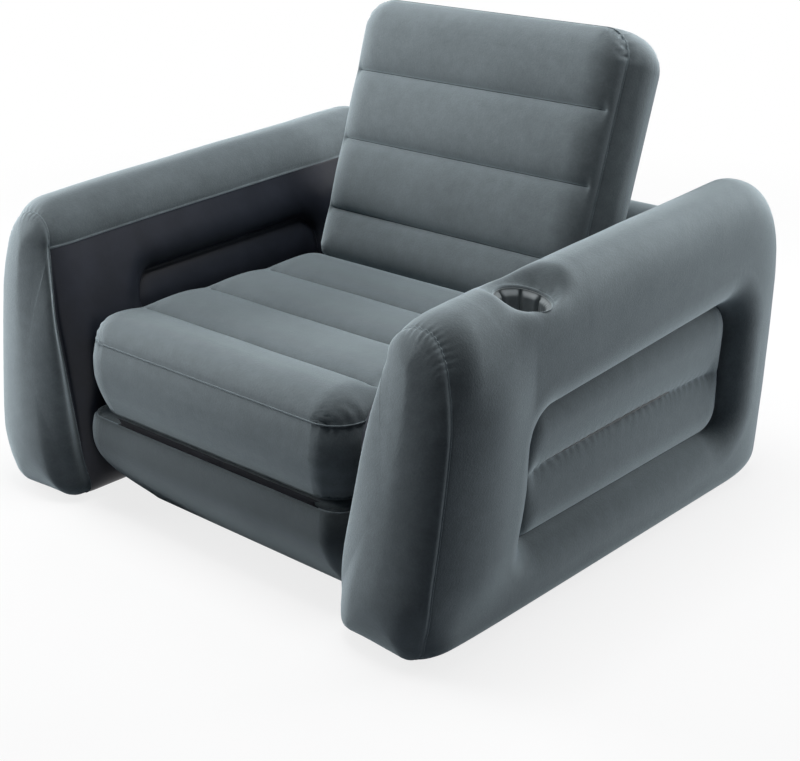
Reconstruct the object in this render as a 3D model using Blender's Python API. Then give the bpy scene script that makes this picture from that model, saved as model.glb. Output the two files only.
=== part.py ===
"""Inflatable armchair whose seat and backrest fold out in front of it as a bed.

Metres, +Z up. The origin is on the floor under the middle of the chair, +X points to the arm
with the cup holder, and the chair faces -Y. Every air chamber is made of separate welded sheets,
held in shape by webs inside.
"""

import math

import bmesh
import bpy
from mathutils import Matrix, Vector
from mathutils.bvhtree import BVHTree

# Sheets and the gaps between them
SKIN = 0.0006
GAP = 0.0003
SEAM_TUCK = SKIN + GAP

# The whole chair
WIDTH = 1.184
DEPTH = 1.103
HALF_WIDTH = WIDTH / 2
ARM_FRONT_CROWN = 0.010
FRONT_RINGS = (0.8, 0.45)
FIRST_RING_CROWN = ARM_FRONT_CROWN * math.sqrt((1 - FRONT_RINGS[0] ** 2) / (1 - FRONT_RINGS[1] ** 2))
FRONT = -DEPTH / 2 + FIRST_RING_CROWN
REAR = DEPTH / 2
LENGTH = REAR - FRONT

# Arms: the top rises towards the rear, the front leans back
ARM_WIDTH = 0.234
ARM_INNER = HALF_WIDTH - ARM_WIDTH
ARM_FRONT_HEIGHT = 0.589
ARM_RISE = 0.0505
ARM_REAR_HEIGHT = ARM_FRONT_HEIGHT + ARM_RISE
MID_HEIGHT = ARM_FRONT_HEIGHT + ARM_RISE / 2
ARM_REAR_CREST = 0.1345
ARM_CROWN_IN = 0.080
ARM_SEAM_IN = 0.152
ARM_SEAM_DROP = 0.0815
ARM_SIDE_DROP = 0.1245
ARM_SIDE_SQUARE = 0.8
ARM_SIDE_LEAN = 0.020
ARM_SIDE_WIDEST = 0.4795
ARM_FOOT_ROUND = 0.045
ARM_INNER_FOOT = 0.048
ARM_INNER_UPRIGHT = 0.562 * MID_HEIGHT
ARM_FRONT_LEAN = 0.067
ARM_FRONT_LEAN_FROM = 0.060
ARM_FRONT_ROUND = 0.072
ARM_FRONT_DRAW = 0.012
ARM_FRONT_DROP = 0.027
ARM_FRONT_SEAM_FOOT = ARM_INNER - 0.001
ARM_FRONT_SEAM_LEAN = 0.091
ARM_REAR_ROUND = 0.144
ARM_REAR_TOP_DROP = 0.2875
ARM_REAR_FOOT_LIFT = 0.0335
ARM_REAR_SIDE_DRAW = 0.058
TOP_STEPS = 3

# Recesses in the sides of the arms, each with two channels
OUTER_RECESS_LOW = 0.196 * MID_HEIGHT
OUTER_RECESS_HIGH = 0.654 * MID_HEIGHT
OUTER_RECESS_FRONT = 0.2325 * LENGTH
OUTER_RECESS_REAR = 0.834 * LENGTH
INNER_RECESS_LOW = 0.352 * MID_HEIGHT
INNER_RECESS_HIGH = 0.742 * MID_HEIGHT
INNER_RECESS_FRONT = 0.180 * LENGTH
INNER_RECESS_REAR = 0.7045 * LENGTH
RECESS_LIP = 0.025
RECESS_DEPTH = 0.043
RECESS_CHANNEL = 0.019
RECESS_CORNER = 0.0115

# Cup holder in the top of the right arm
CUP_RADIUS = 0.047
CUP_FOOT_RADIUS = 0.0355
CUP_FLOOR_SHARE = 0.55
CUP_DEPTH = 0.0815
CUP_IN_FROM_SIDE = 0.062
CUP_FROM_FRONT = 0.2915
CUP_STEPS = 28

# Base mattress between the arms
BASE_FRONT = 0.045
BASE_REAR_MARGIN = 0.043
BASE_SEAM = 0.1975
BASE_CROWN = 0.0065
BASE_FOOT_ROUND = 0.096
BASE_RIBS = 6

# Seat: its lower front edge is hinged to the base
SEAT_SIDE_CLEAR = 0.0025
SEAT_LENGTH = 0.5775 * LENGTH
SEAT_BAND = 0.144
SEAT_CROWN = 0.050
SEAT_UNDER_CROWN = 0.0065
SEAT_RIBS = 4
STACK_GAP = 0.0005

# Backrest: its foot is hinged to the rear edge of the seat
BACK_LEAN = math.radians(18.4)
BACK_SIDE_CLEAR = 0.0105
BACK_LENGTH = 0.5755
BACK_BAND = 0.1055
BACK_CROWN = 0.043
BACK_REAR_CROWN = 0.019
BACK_RIBS = 4

# What all padded sections share
BULGE = 0.012
BASE_HALF_WIDTH = ARM_INNER - BULGE - 2 * GAP
SEAT_HALF_WIDTH = ARM_INNER - BULGE - SEAT_SIDE_CLEAR
BACK_HALF_WIDTH = ARM_INNER - BULGE - BACK_SIDE_CLEAR
EDGE_ROUND = 0.067
CORNER = 0.0625
VALLEY = 0.019
WELD_END = 0.046
WELD_AT_SEAM = 0.35
WELD_FADE = 0.020
FIRST_STEP = 0.3
LINE_MIN = 0.012
HINGE_REACH = 0.0135
HINGE_END = 0.0595
HINGE_HEIGHT = BASE_SEAM + HINGE_REACH / 2

# Wall between the arms, which the backrest leans on
WALL_HEIGHT = 0.8625 * ARM_REAR_HEIGHT
WALL_TOP_ROUND = 0.0575
WALL_ROWS = 8
WALL_WEB_ROW = 5
WALL_SIDE_CLEAR = 0.0018
WALL_WEB_END = 0.1245

# Air valves
VALVE_NECK = 0.0225
VALVE_FLANGE = 0.032
VALVE_WALL = 0.0016
VALVE_DEPTH = 0.020
VALVE_LIP = 0.0015
VALVE_STEPS = 20
VALVE_CLEAR = 0.0004
VALVE_HOLE_CUT = 0.020
VALVE_SEAT_SHARE = 0.55
FLAP_SHARE = 0.8
PLUG_THICK = 0.003
FLAP_THICK = 0.0010
HINGE_REACH_OUT = 0.0040
FRAME_VALVE_ACROSS = 0.56 * ARM_INNER
FRAME_VALVE_HEIGHT = 0.60 * WALL_HEIGHT
BED_VALVE_ACROSS = 0.40 * BACK_HALF_WIDTH
BED_VALVE_RIB = 2

# The base's side sheet: how far out, as a share of the foot's rounding or of the bulge, and how high
BASE_UNDER = ((-0.42, 0.12), (-0.10, 0.32))
BASE_SIDE = ((1.0, 0.62), (0.72, 0.84))

FLOCK = ("flocked_vinyl", (0.080, 0.098, 0.110), 0.92)
FLOCK_SEAT = ("flocked_seat", (0.086, 0.103, 0.114), 0.90)
SMOOTH = ("smooth_vinyl", (0.018, 0.023, 0.031), 0.45)
WEB = ("inner_web", (0.20, 0.21, 0.22), 0.55)
PLASTIC = ("valve_plastic", (0.030, 0.033, 0.038), 0.40)


def clear_scene():
    for obj in list(bpy.data.objects):
        bpy.data.objects.remove(obj)


def material(finish):
    name, colour, roughness = finish
    found = bpy.data.materials.get(name)
    if found:
        return found
    made = bpy.data.materials.new(name)
    made.use_nodes = True
    shader = made.node_tree.nodes["Principled BSDF"]
    shader.inputs["Base Color"].default_value = (*colour, 1.0)
    shader.inputs["Roughness"].default_value = roughness
    shader.inputs["Metallic"].default_value = 0.0
    return made


def own_material(finish, name):
    """A copy of a finish for one piece."""
    made = material(finish).copy()
    made.name = name + "_finish"
    return made


def lerp(a, b, t):
    return a + (b - a) * t


def rounding(distance, radius):
    """0 at the edge of a form, 1 from the radius inwards, on a quarter circle."""
    if distance >= radius:
        return 1.0
    return math.sqrt(1.0 - (1.0 - max(distance, 0.0) / radius) ** 2)


def spread(stops, steps):
    """Values from stop to stop, each stretch cut into its number of steps."""
    values = [stops[0]]
    for start, end, count in zip(stops, stops[1:], steps):
        values += [lerp(start, end, k / count) for k in range(1, count + 1)]
    return values


# Sheets


def sheet_grid(rows, cols, place, ring=False):
    """A grid of rows x cols cells whose corners lie at place(row, col)."""
    bm = bmesh.new()
    bmesh.ops.create_grid(bm, x_segments=cols, y_segments=rows, size=0.5)
    row_of = bm.faces.layers.int.new("row")
    col_of = bm.faces.layers.int.new("col")
    for face in bm.faces:
        middle = face.calc_center_median()
        face[row_of] = int((middle.y + 0.5) * rows)
        face[col_of] = int((middle.x + 0.5) * cols)
    for vert in bm.verts:
        row = round((vert.co.y + 0.5) * rows)
        col = round((vert.co.x + 0.5) * cols)
        vert.co = place(row, col % cols if ring else col)
    if ring:
        bmesh.ops.remove_doubles(bm, verts=bm.verts, dist=1e-6)
    return bm


def rim_inward(bm):
    """For each rim corner, the direction along the sheet that leads away from the rim."""
    inward = {}
    for edge in bm.edges:
        if not edge.is_boundary:
            continue
        face = edge.link_faces[0]
        along = (edge.verts[1].co - edge.verts[0].co).normalized()
        across = face.normal.cross(along).normalized()
        if across.dot(face.calc_center_median() - edge.verts[0].co) < 0:
            across.negate()
        for vert in edge.verts:
            inward.setdefault(vert, []).append(across)
    return inward


def draw_in(bm, amount):
    """Moves a sheet's rim inwards by an amount measured square to the rim."""
    bm.normal_update()
    for vert, sides in rim_inward(bm).items():
        middle = sum(sides, Vector()).normalized()
        square = max(0.5, middle.dot(sides[0]))
        vert.co += middle * (amount / square)


def face_sheet_to(bm, way):
    """Turns a sheet so that its faces look the given way on the whole."""
    bm.normal_update()
    total = sum((face.normal for face in bm.faces), Vector())
    if total.dot(way) < 0:
        bmesh.ops.reverse_faces(bm, faces=bm.faces)


def object_from(bm, name, finish):
    mesh = bpy.data.meshes.new(name)
    bm.to_mesh(mesh)
    bm.free()
    obj = bpy.data.objects.new(name, mesh)
    bpy.context.scene.collection.objects.link(obj)
    mesh.materials.append(own_material(finish, name))
    mesh.shade_smooth()
    mesh.set_sharp_from_angle(angle=math.radians(50))
    return obj


def thicken(obj):
    """Gives a sheet its thickness, on the inner side."""
    solid = obj.modifiers.new("skin", "SOLIDIFY")
    solid.thickness = SKIN
    solid.offset = -1.0
    solid.use_even_offset = True
    return obj


def sheet_object(bm, name, finish, tuck=0.0):
    if tuck:
        draw_in(bm, tuck)
    bm.normal_update()
    return thicken(object_from(bm, name, finish))


def keep_faces(form, wanted):
    """A copy of a form with only the faces whose row and column are wanted."""
    bm = form.copy()
    row_of = bm.faces.layers.int["row"]
    col_of = bm.faces.layers.int["col"]
    unwanted = [face for face in bm.faces if not wanted(face[row_of], face[col_of])]
    bmesh.ops.delete(bm, geom=unwanted, context="FACES")
    return bm


def set_origin(pieces, at):
    """Puts the origin of each piece on a joint's axis and leaves the piece where it is."""
    for obj in pieces:
        obj.data.transform(Matrix.Translation(-at))
        obj.location = at


def named(*starts):
    return [obj for obj in bpy.data.objects if obj.name.startswith(starts)]


def cut_hole(obj, cutter):
    cutter.hide_render = True
    cutter.display_type = "WIRE"
    hole = obj.modifiers.new(cutter.name, "BOOLEAN")
    hole.operation = "DIFFERENCE"
    hole.solver = "EXACT"
    hole.object = cutter


def round_cutter(name, radius, length, where, steps):
    """A closed cylinder whose axis is the Z of the matrix."""
    bm = bmesh.new()
    bmesh.ops.create_cone(bm, cap_ends=True, segments=steps, radius1=radius, radius2=radius,
                          depth=length, matrix=where)
    mesh = bpy.data.meshes.new(name)
    bm.to_mesh(mesh)
    bm.free()
    obj = bpy.data.objects.new(name, mesh)
    bpy.context.scene.collection.objects.link(obj)
    return obj


# Arms


def arm_height(y):
    """Height of the crown of an arm at this place along it."""
    return lerp(ARM_FRONT_HEIGHT, ARM_REAR_HEIGHT, min(1.0, (y - FRONT) / (LENGTH - ARM_REAR_CREST)))


SEAM_HEIGHT = MID_HEIGHT - ARM_SEAM_DROP


def arm_inner_x(z):
    """Inner side of an arm's section: upright at the cushions, then out to the top seam."""
    rise = max(0.0, (z - ARM_INNER_UPRIGHT) / (SEAM_HEIGHT - ARM_INNER_UPRIGHT))
    return lerp(ARM_INNER, HALF_WIDTH - ARM_SEAM_IN, rise ** 1.5)


def arm_outer_x(z):
    """Outer side of an arm's section, which leans out from the floor up."""
    below = max(0.0, ARM_SIDE_WIDEST - z) / ARM_SIDE_WIDEST
    return HALF_WIDTH - ARM_SIDE_LEAN * below ** 2


def recess_heights(low, high):
    """Heights across a recess: edge, foot of the lip, channel, weld, channel, lip, edge."""
    inner_low = low + RECESS_LIP
    inner_high = high - RECESS_LIP
    return [low] + spread([inner_low, inner_high], [4]) + [high]


def arm_section():
    """Corners round the section of an arm, from the outer foot inwards, up and over.

    Each is (name or None, x, z). The names mark seams and the edges of the recesses.
    """
    section = [
        ("foot", arm_outer_x(0.0) - ARM_FOOT_ROUND, 0.0),
        (None, HALF_WIDTH - ARM_WIDTH / 2, 0.0),
        ("inner_foot", ARM_INNER + ARM_INNER_FOOT, 0.0),
        (None, ARM_INNER + FIRST_STEP * ARM_INNER_FOOT, FIRST_STEP * ARM_INNER_FOOT),
        (None, ARM_INNER, ARM_INNER_FOOT),
        (None, ARM_INNER, BASE_SEAM / 2),
    ]
    inner = recess_heights(INNER_RECESS_LOW, INNER_RECESS_HIGH)
    section += [("inner_low", arm_inner_x(inner[0]), inner[0])]
    section += [(None, arm_inner_x(z), z) for z in inner[1:-1]]
    section += [("inner_high", arm_inner_x(inner[-1]), inner[-1])]
    section += [("seam", HALF_WIDTH - ARM_SEAM_IN, SEAM_HEIGHT)]
    crown = HALF_WIDTH - ARM_CROWN_IN
    for k in range(1, TOP_STEPS + 1):
        turn = 0.5 * math.pi * k / TOP_STEPS
        x = crown - (ARM_SEAM_IN - ARM_CROWN_IN) * math.cos(turn)
        section.append((None, x, SEAM_HEIGHT + ARM_SEAM_DROP * math.sin(turn)))
    side_z = MID_HEIGHT - ARM_SIDE_DROP
    side_x = arm_outer_x(side_z)
    for k in range(1, TOP_STEPS + 1):
        turn = 0.5 * math.pi * k / TOP_STEPS
        x = crown + (side_x - crown) * math.sin(turn) ** ARM_SIDE_SQUARE
        rise = max(0.0, math.cos(turn)) ** ARM_SIDE_SQUARE
        section.append((None, x, side_z + ARM_SIDE_DROP * rise))
    outer = recess_heights(OUTER_RECESS_LOW, OUTER_RECESS_HIGH)[::-1]
    section += [("outer_high", arm_outer_x(outer[0]), outer[0])]
    section += [(None, arm_outer_x(z), z) for z in outer[1:-1]]
    section += [("outer_low", arm_outer_x(outer[-1]), outer[-1])]
    section += [
        (None, arm_outer_x(ARM_FOOT_ROUND), ARM_FOOT_ROUND),
        (None, arm_outer_x(0.0) - FIRST_STEP * ARM_FOOT_ROUND, FIRST_STEP * ARM_FOOT_ROUND),
    ]
    return section


SECTION = arm_section()
MARK = {name: k for k, (name, _, _) in enumerate(SECTION) if name}
COLS = len(SECTION)


def row_at(values, place):
    """The row of the station nearest to a place."""
    return min(range(len(values)), key=lambda row: abs(values[row] - place))


def arm_stations():
    """Distances from the front at which the section is taken, and the rows of the recesses."""
    values = spread([0.0, ARM_FRONT_ROUND, INNER_RECESS_FRONT], [3, 2])
    values.append(INNER_RECESS_FRONT + RECESS_LIP)
    outer_rows = [OUTER_RECESS_FRONT, OUTER_RECESS_FRONT + RECESS_LIP]
    values += outer_rows
    values += spread([outer_rows[1], INNER_RECESS_REAR - RECESS_LIP], [3])[1:]
    values += [INNER_RECESS_REAR, OUTER_RECESS_REAR - RECESS_LIP, OUTER_RECESS_REAR]
    rows = {
        "inner": (row_at(values, INNER_RECESS_FRONT), row_at(values, INNER_RECESS_REAR)),
        "outer": (row_at(values, OUTER_RECESS_FRONT), row_at(values, OUTER_RECESS_REAR)),
    }
    ends = [1.0 - math.cos(0.5 * math.pi * k / 4) for k in range(4, -1, -1)]
    values += [LENGTH - ARM_REAR_ROUND * end for end in ends]
    return values, rows


STATIONS, RECESS_ROWS = arm_stations()
ROWS = len(STATIONS) - 1
RECESS_COLS = {
    "inner": (MARK["inner_low"], MARK["inner_high"]),
    "outer": (MARK["outer_high"], MARK["outer_low"]),
}


def recess_push(kind, row, col):
    """How far a corner lies behind the side of the arm, and its shift towards the recess."""
    row0, row1 = RECESS_ROWS[kind]
    col0, col1 = RECESS_COLS[kind]
    if not (row0 <= row <= row1 and col0 <= col <= col1):
        return 0.0, 0.0, 0.0
    at_front, at_rear = row <= row0 + 1, row >= row1 - 1
    at_start, at_end = col <= col0 + 1, col >= col1 - 1
    shift_y = RECESS_CORNER * (at_front - at_rear) * (at_start or at_end)
    shift_z = RECESS_CORNER * (at_start - at_end) * (at_front or at_rear)
    if kind == "outer":
        shift_z = -shift_z
    if row in (row0, row1) or col in (col0, col1):
        return 0.0, shift_y, shift_z
    on_foot = row in (row0 + 1, row1 - 1) or col in (col0 + 1, col1 - 1)
    on_weld = col == (col0 + col1) // 2
    depth = RECESS_DEPTH if on_foot or on_weld else RECESS_DEPTH - RECESS_CHANNEL
    return depth, shift_y, shift_z


def arm_front_shift(col, x, z):
    """How far the seam round the front panel lies to the right of the full section."""
    if MARK["inner_foot"] <= col <= MARK["seam"]:
        seam_x = ARM_FRONT_SEAM_FOOT + ARM_FRONT_SEAM_LEAN * z / SEAM_HEIGHT
        return seam_x - max(arm_inner_x(z), ARM_INNER)
    return -ARM_FRONT_DRAW if x > HALF_WIDTH - ARM_CROWN_IN else 0.0


def front_lean(z):
    """How far the front of an arm has leant back at a height."""
    rise = max(0.0, z - ARM_FRONT_LEAN_FROM) / (ARM_FRONT_HEIGHT - ARM_FRONT_LEAN_FROM)
    return ARM_FRONT_LEAN * rise


def arm_point(row, col):
    """A corner of the right arm's surface, with its recesses."""
    _, x, z = SECTION[col]
    along = STATIONS[row]
    scale = arm_height(FRONT + along) / MID_HEIGHT
    front = 1.0 - rounding(along, ARM_FRONT_ROUND)
    x += front * arm_front_shift(col, x, z)
    z -= ARM_FRONT_DROP * front * max(0.0, z - SEAM_HEIGHT) / ARM_SEAM_DROP
    rear = 1.0 - rounding(LENGTH - along, ARM_REAR_ROUND)
    x -= ARM_REAR_SIDE_DRAW * rear * (x - ARM_INNER) / ARM_WIDTH
    z = z * scale * (1.0 - ARM_REAR_TOP_DROP * rear) + ARM_REAR_FOOT_LIFT * rear
    y = FRONT + along + front_lean(z) * max(0.0, 1.0 - along / INNER_RECESS_FRONT)
    depth, shift_y, shift_z = recess_push("outer", row, col)
    x -= depth
    y += shift_y
    z += shift_z
    depth, shift_y, shift_z = recess_push("inner", row, col)
    return Vector((x + depth, y + shift_y, z + shift_z))


def close_front(bm, rim):
    """Closes the front of an arm with a crowned panel: rings towards its middle, then one face."""
    row_of = bm.faces.layers.int["row"]
    corners = {vert for edge in rim for vert in edge.verts}
    middle_x = (min(v.co.x for v in corners) + max(v.co.x for v in corners)) / 2
    middle_z = (min(v.co.z for v in corners) + max(v.co.z for v in corners)) / 2
    fullest = math.sqrt(1.0 - FRONT_RINGS[-1] ** 2)
    before = 1.0
    for share in FRONT_RINGS:
        grown = bmesh.ops.extrude_edge_only(bm, edges=rim)["geom"]
        for face in grown:
            if isinstance(face, bmesh.types.BMFace):
                face[row_of] = -1
        rim = [edge for edge in grown if isinstance(edge, bmesh.types.BMEdge) and edge.is_boundary]
        for vert in {vert for edge in rim for vert in edge.verts}:
            x = lerp(middle_x, vert.co.x, share / before)
            z = lerp(middle_z, vert.co.z, share / before)
            crown = ARM_FRONT_CROWN * math.sqrt(1.0 - share ** 2) / fullest
            vert.co = (x, FRONT + front_lean(z) - crown, z)
        before = share
    bmesh.ops.contextual_create(bm, geom=rim)["faces"][0][row_of] = -1


def arm_form(side):
    """The closed surface of one arm; side is 1 for the right arm and -1 for the left."""
    bm = sheet_grid(ROWS, COLS, arm_point, ring=True)
    rims = [edge for edge in bm.edges if edge.is_boundary]
    rear = [edge for edge in rims if edge.verts[0].co.y > 0]
    front = [edge for edge in rims if edge.verts[0].co.y < 0]
    cap = bmesh.ops.contextual_create(bm, geom=rear)["faces"][0]
    cap[bm.faces.layers.int["row"]] = ROWS
    close_front(bm, front)
    bmesh.ops.scale(bm, vec=(side, 1.0, 1.0), verts=bm.verts)
    bmesh.ops.recalc_face_normals(bm, faces=bm.faces)
    return bm


def in_recess(kind, row, col, lip=0):
    """Whether a cell is in a recess; with lip=1, inside the foot of its lip."""
    row0, row1 = RECESS_ROWS[kind]
    col0, col1 = RECESS_COLS[kind]
    return row0 + lip <= row < row1 - lip and col0 + lip <= col < col1 - lip


def arm_zone(row, col):
    """The panel that a cell of the arm belongs to."""
    if row == -1:
        return "front"
    if row == ROWS:
        return "cover"
    if in_recess("outer", row, col, lip=1):
        return "recess"
    if in_recess("inner", row, col, lip=1):
        return "inner_recess"
    if col < MARK["inner_foot"]:
        return "bottom"
    return "inner" if col < MARK["seam"] else "cover"


ARM_PANELS = (
    ("cover", FLOCK, 0.0),
    ("front", FLOCK, SEAM_TUCK),
    ("recess", FLOCK, SEAM_TUCK),
    ("inner", SMOOTH, SEAM_TUCK),
    ("inner_recess", SMOOTH, SEAM_TUCK),
    ("bottom", SMOOTH, SEAM_TUCK),
)


def arm_web(name, side):
    """The web inside an arm that ties the weld lines of its two recesses together."""
    first = max(RECESS_ROWS["outer"][0], RECESS_ROWS["inner"][0]) + 1
    last = min(RECESS_ROWS["outer"][1], RECESS_ROWS["inner"][1]) - 1
    outer_col = sum(RECESS_COLS["outer"]) // 2
    inner_col = sum(RECESS_COLS["inner"]) // 2
    clear = SKIN + 2 * GAP

    def place(row, col):
        outer = arm_point(first + row, outer_col) - Vector((clear, 0.0, 0.0))
        inner = arm_point(first + row, inner_col) + Vector((clear, 0.0, 0.0))
        point = outer if col else inner
        return Vector((side * point.x, point.y, point.z))

    return sheet_object(sheet_grid(last - first, 1, place), name, WEB)


def make_arm(word, side):
    form = arm_form(side)
    made = {}
    for zone, finish, tuck in ARM_PANELS:
        bm = keep_faces(form, lambda row, col: arm_zone(row, col) == zone)
        made[zone] = sheet_object(bm, word + "_arm_" + zone, finish, tuck)
    form.free()
    arm_web(word + "_arm_web", side)
    return made


# Cup holder


def cup_place():
    x = HALF_WIDTH - CUP_IN_FROM_SIDE
    y = FRONT + CUP_FROM_FRONT
    return Vector((x, y, arm_height(y)))


def cup_rim_height(tree, x, y):
    """Height of the arm's cover at a place, read by a ray from above."""
    hit = tree.ray_cast(Vector((x, y, 2 * ARM_REAR_HEIGHT)), Vector((0.0, 0.0, -1.0)))[0]
    return hit.z


def make_cup_holder(cover):
    """A tapered cup hung in a hole in the arm's cover, its rim level with the cover."""
    centre = cup_place()
    surface = bmesh.new()
    surface.from_mesh(cover.data)
    tree = BVHTree.FromBMesh(surface)
    surface.free()
    radii = [CUP_RADIUS - GAP, lerp(CUP_RADIUS, CUP_FOOT_RADIUS, 0.5), CUP_FOOT_RADIUS,
             CUP_FLOOR_SHARE * CUP_FOOT_RADIUS]
    foot = centre.z - CUP_DEPTH

    def place(row, col):
        turn = 2 * math.pi * col / CUP_STEPS
        x = centre.x + radii[row] * math.cos(turn)
        y = centre.y + radii[row] * math.sin(turn)
        rim = centre + Vector((math.cos(turn), math.sin(turn), 0.0)) * radii[0]
        top = cup_rim_height(tree, rim.x, rim.y)
        z = (top, lerp(top, foot, 0.5), foot, foot)[row]
        return Vector((x, y, z))

    bm = sheet_grid(len(radii) - 1, CUP_STEPS, place, ring=True)
    rim = [edge for edge in bm.edges if edge.is_boundary
           and edge.verts[0].co.z < foot + GAP and edge.verts[1].co.z < foot + GAP]
    bmesh.ops.contextual_create(bm, geom=rim)
    bmesh.ops.recalc_face_normals(bm, faces=bm.faces)
    low = min(bm.faces, key=lambda face: face.calc_center_median().z)
    if low.normal.z > 0:
        bmesh.ops.reverse_faces(bm, faces=bm.faces)
    sheet_object(bm, "cup_holder", SMOOTH)
    where = Matrix.Translation(centre - Vector((0.0, 0.0, CUP_DEPTH / 2)))
    cut_hole(cover, round_cutter("cup_hole", CUP_RADIUS, 2 * CUP_DEPTH, where, CUP_STEPS))


# Padded sections: the base, the seat and the backrest


class Section:
    """One padded section, in its own axes: x across, v along it and w through it.

    frame turns (x, v, w) into a place in the chair. low and high are the w of its two seams.
    """

    def __init__(self, half_width, length, ribs, low, high, frame):
        self.half_width = half_width
        self.length = length
        self.ribs = ribs
        self.low = low
        self.high = high
        self.frame = frame
        self.xs = self.lines(half_width)
        self.vs = self.rib_lines()

    def lines(self, half):
        steps = [0.0, FIRST_STEP * CORNER, CORNER, CORNER + WELD_END]
        side = [-half + step for step in steps]
        return side + [0.0] + [-x for x in side[::-1]]

    def rib_lines(self):
        """Lines across the section: its rounded ends, each valley and the crown of each rib."""
        pitch = self.length / self.ribs
        ends = [0.0, FIRST_STEP * CORNER, CORNER]
        values = ends + [self.length - step for step in ends]
        values += [pitch * k / 4 for k in range(1, 4 * self.ribs) if k % 4 != 2]
        values = sorted(values)
        kept = [values[0]]
        for value in values[1:]:
            if value - kept[-1] > LINE_MIN or value == self.length:
                kept.append(value)
        return kept

    def half_at(self, v):
        """Half the width at v, where the corners are rounded."""
        end = min(v, self.length - v)
        return self.half_width - CORNER * (1.0 - rounding(end, CORNER))

    def flat_point(self, row, col):
        v = self.vs[row]
        share = self.half_at(v) / self.half_width
        return self.xs[col] * share, v

    def edge_distance(self, x, v):
        """Distance from the rounded outline, 0 on it."""
        side = self.half_width - abs(x)
        end = min(v, self.length - v)
        if side < CORNER and end < CORNER:
            return max(0.0, CORNER - math.hypot(CORNER - side, CORNER - end))
        return min(side, end)

    def valley(self, x, v):
        """0 on the crown of a rib, 1 in the valley between two."""
        pitch = self.length / self.ribs
        nearest = round(v / pitch)
        if nearest in (0, self.ribs):
            return 0.0
        away = min(1.0, abs(v - nearest * pitch) / (pitch / 2))
        side = self.half_width - abs(x)
        weld = lerp(WELD_AT_SEAM, 1.0, min(1.0, side / (WELD_END + WELD_FADE)))
        return (1.0 - math.sqrt(1.0 - (1.0 - away) ** 2)) * weld if away > 0 else weld

    def height(self, x, v, crown, valley_depth):
        d = self.edge_distance(x, v)
        edge = rounding(d, EDGE_ROUND)
        return edge * (crown - valley_depth * self.valley(x, v))

    def face_sheet(self, name, finish, top, crown, valley_depth):
        """The top or the bottom sheet of the section."""
        def place(row, col):
            x, v = self.flat_point(row, col)
            rise = self.height(x, v, crown, valley_depth)
            w = self.high + rise if top else self.low - rise
            return self.frame @ Vector((x, v, w))

        bm = sheet_grid(len(self.vs) - 1, len(self.xs) - 1, place)
        face_sheet_to(bm, self.frame.to_3x3() @ Vector((0.0, 0.0, 1.0 if top else -1.0)))
        return sheet_object(bm, name, finish)

    def outline(self):
        """The corners of the sheets' rim, in order round the section."""
        last_row = len(self.vs) - 1
        last_col = len(self.xs) - 1
        cells = [(0, col) for col in range(last_col)]
        cells += [(row, last_col) for row in range(last_row)]
        cells += [(last_row, col) for col in range(last_col, 0, -1)]
        cells += [(row, 0) for row in range(last_row, 0, -1)]
        return [self.flat_point(row, col) for row, col in cells]

    def outward(self, x, v):
        """The way out of the section, square to its outline."""
        side = self.half_width - abs(x)
        end = min(v, self.length - v)
        from_side = max(0.0, CORNER - side)
        from_end = max(0.0, CORNER - end)
        way = Vector((math.copysign(from_side, x), math.copysign(from_end, v - self.length / 2), 0.0))
        return way.normalized()

    def moved(self, x, v, out):
        """A place on the outline moved out, or drawn in towards the middle where out is negative."""
        if out >= 0.0:
            way = self.outward(x, v) * out
            return x + way.x, v + way.y
        middle = self.length / 2
        return x * (1.0 + out / self.half_width), middle + (v - middle) * (1.0 + out / middle)

    def band(self, name, finish, steps=4, bulge=BULGE):
        """The side sheet round the section, bulging between its two seams."""
        rim = self.outline()
        low = self.low + SEAM_TUCK
        high = self.high - SEAM_TUCK

        def place(row, col):
            x, v = rim[col]
            t = row / steps
            x, v = self.moved(x, v, bulge * math.sin(math.pi * t))
            return self.frame @ Vector((x, v, lerp(low, high, t)))

        bm = sheet_grid(steps, len(rim), place, ring=True)
        bmesh.ops.recalc_face_normals(bm, faces=bm.faces)
        middle = self.frame @ Vector((0.0, self.length / 2, (low + high) / 2))
        first = next(iter(bm.faces))
        if first.normal.dot(first.calc_center_median() - middle) < 0:
            bmesh.ops.reverse_faces(bm, faces=bm.faces)
        return sheet_object(bm, name, finish)

    def web(self, name, rib, top_valley, bottom_valley):
        """An upright web under one valley, a hair short of both sheets."""
        v = self.length * rib / self.ribs
        half = self.half_width - CORNER - WELD_END
        clear = SKIN + 2 * GAP
        ends = (self.low - bottom_valley + clear, self.high + top_valley - clear)

        def place(row, col):
            return self.frame @ Vector((half * (2 * col - 1), v - SKIN / 2, ends[row]))

        return sheet_object(sheet_grid(1, 1, place), name, WEB)


def base_section():
    length = LENGTH - BASE_FRONT - BASE_REAR_MARGIN
    frame = Matrix.Translation((0.0, FRONT + BASE_FRONT, 0.0))
    return Section(BASE_HALF_WIDTH, length, BASE_RIBS, 0.0, BASE_SEAM, frame)


def seat_section():
    low = BASE_SEAM + HINGE_REACH
    frame = Matrix.Translation((0.0, FRONT + BASE_FRONT, 0.0))
    return Section(SEAT_HALF_WIDTH, SEAT_LENGTH, SEAT_RIBS, low, low + SEAT_BAND, frame)


def seat_hinge():
    """A point on the axis where the seat folds out over the front of the base."""
    return Vector((0.0, FRONT + BASE_FRONT - HINGE_REACH, HINGE_HEIGHT))


def back_hinge():
    """A point on the axis between the seat and the backrest."""
    seat = seat_section()
    return Vector((0.0, FRONT + BASE_FRONT + SEAT_LENGTH + HINGE_REACH, seat.high))


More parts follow.
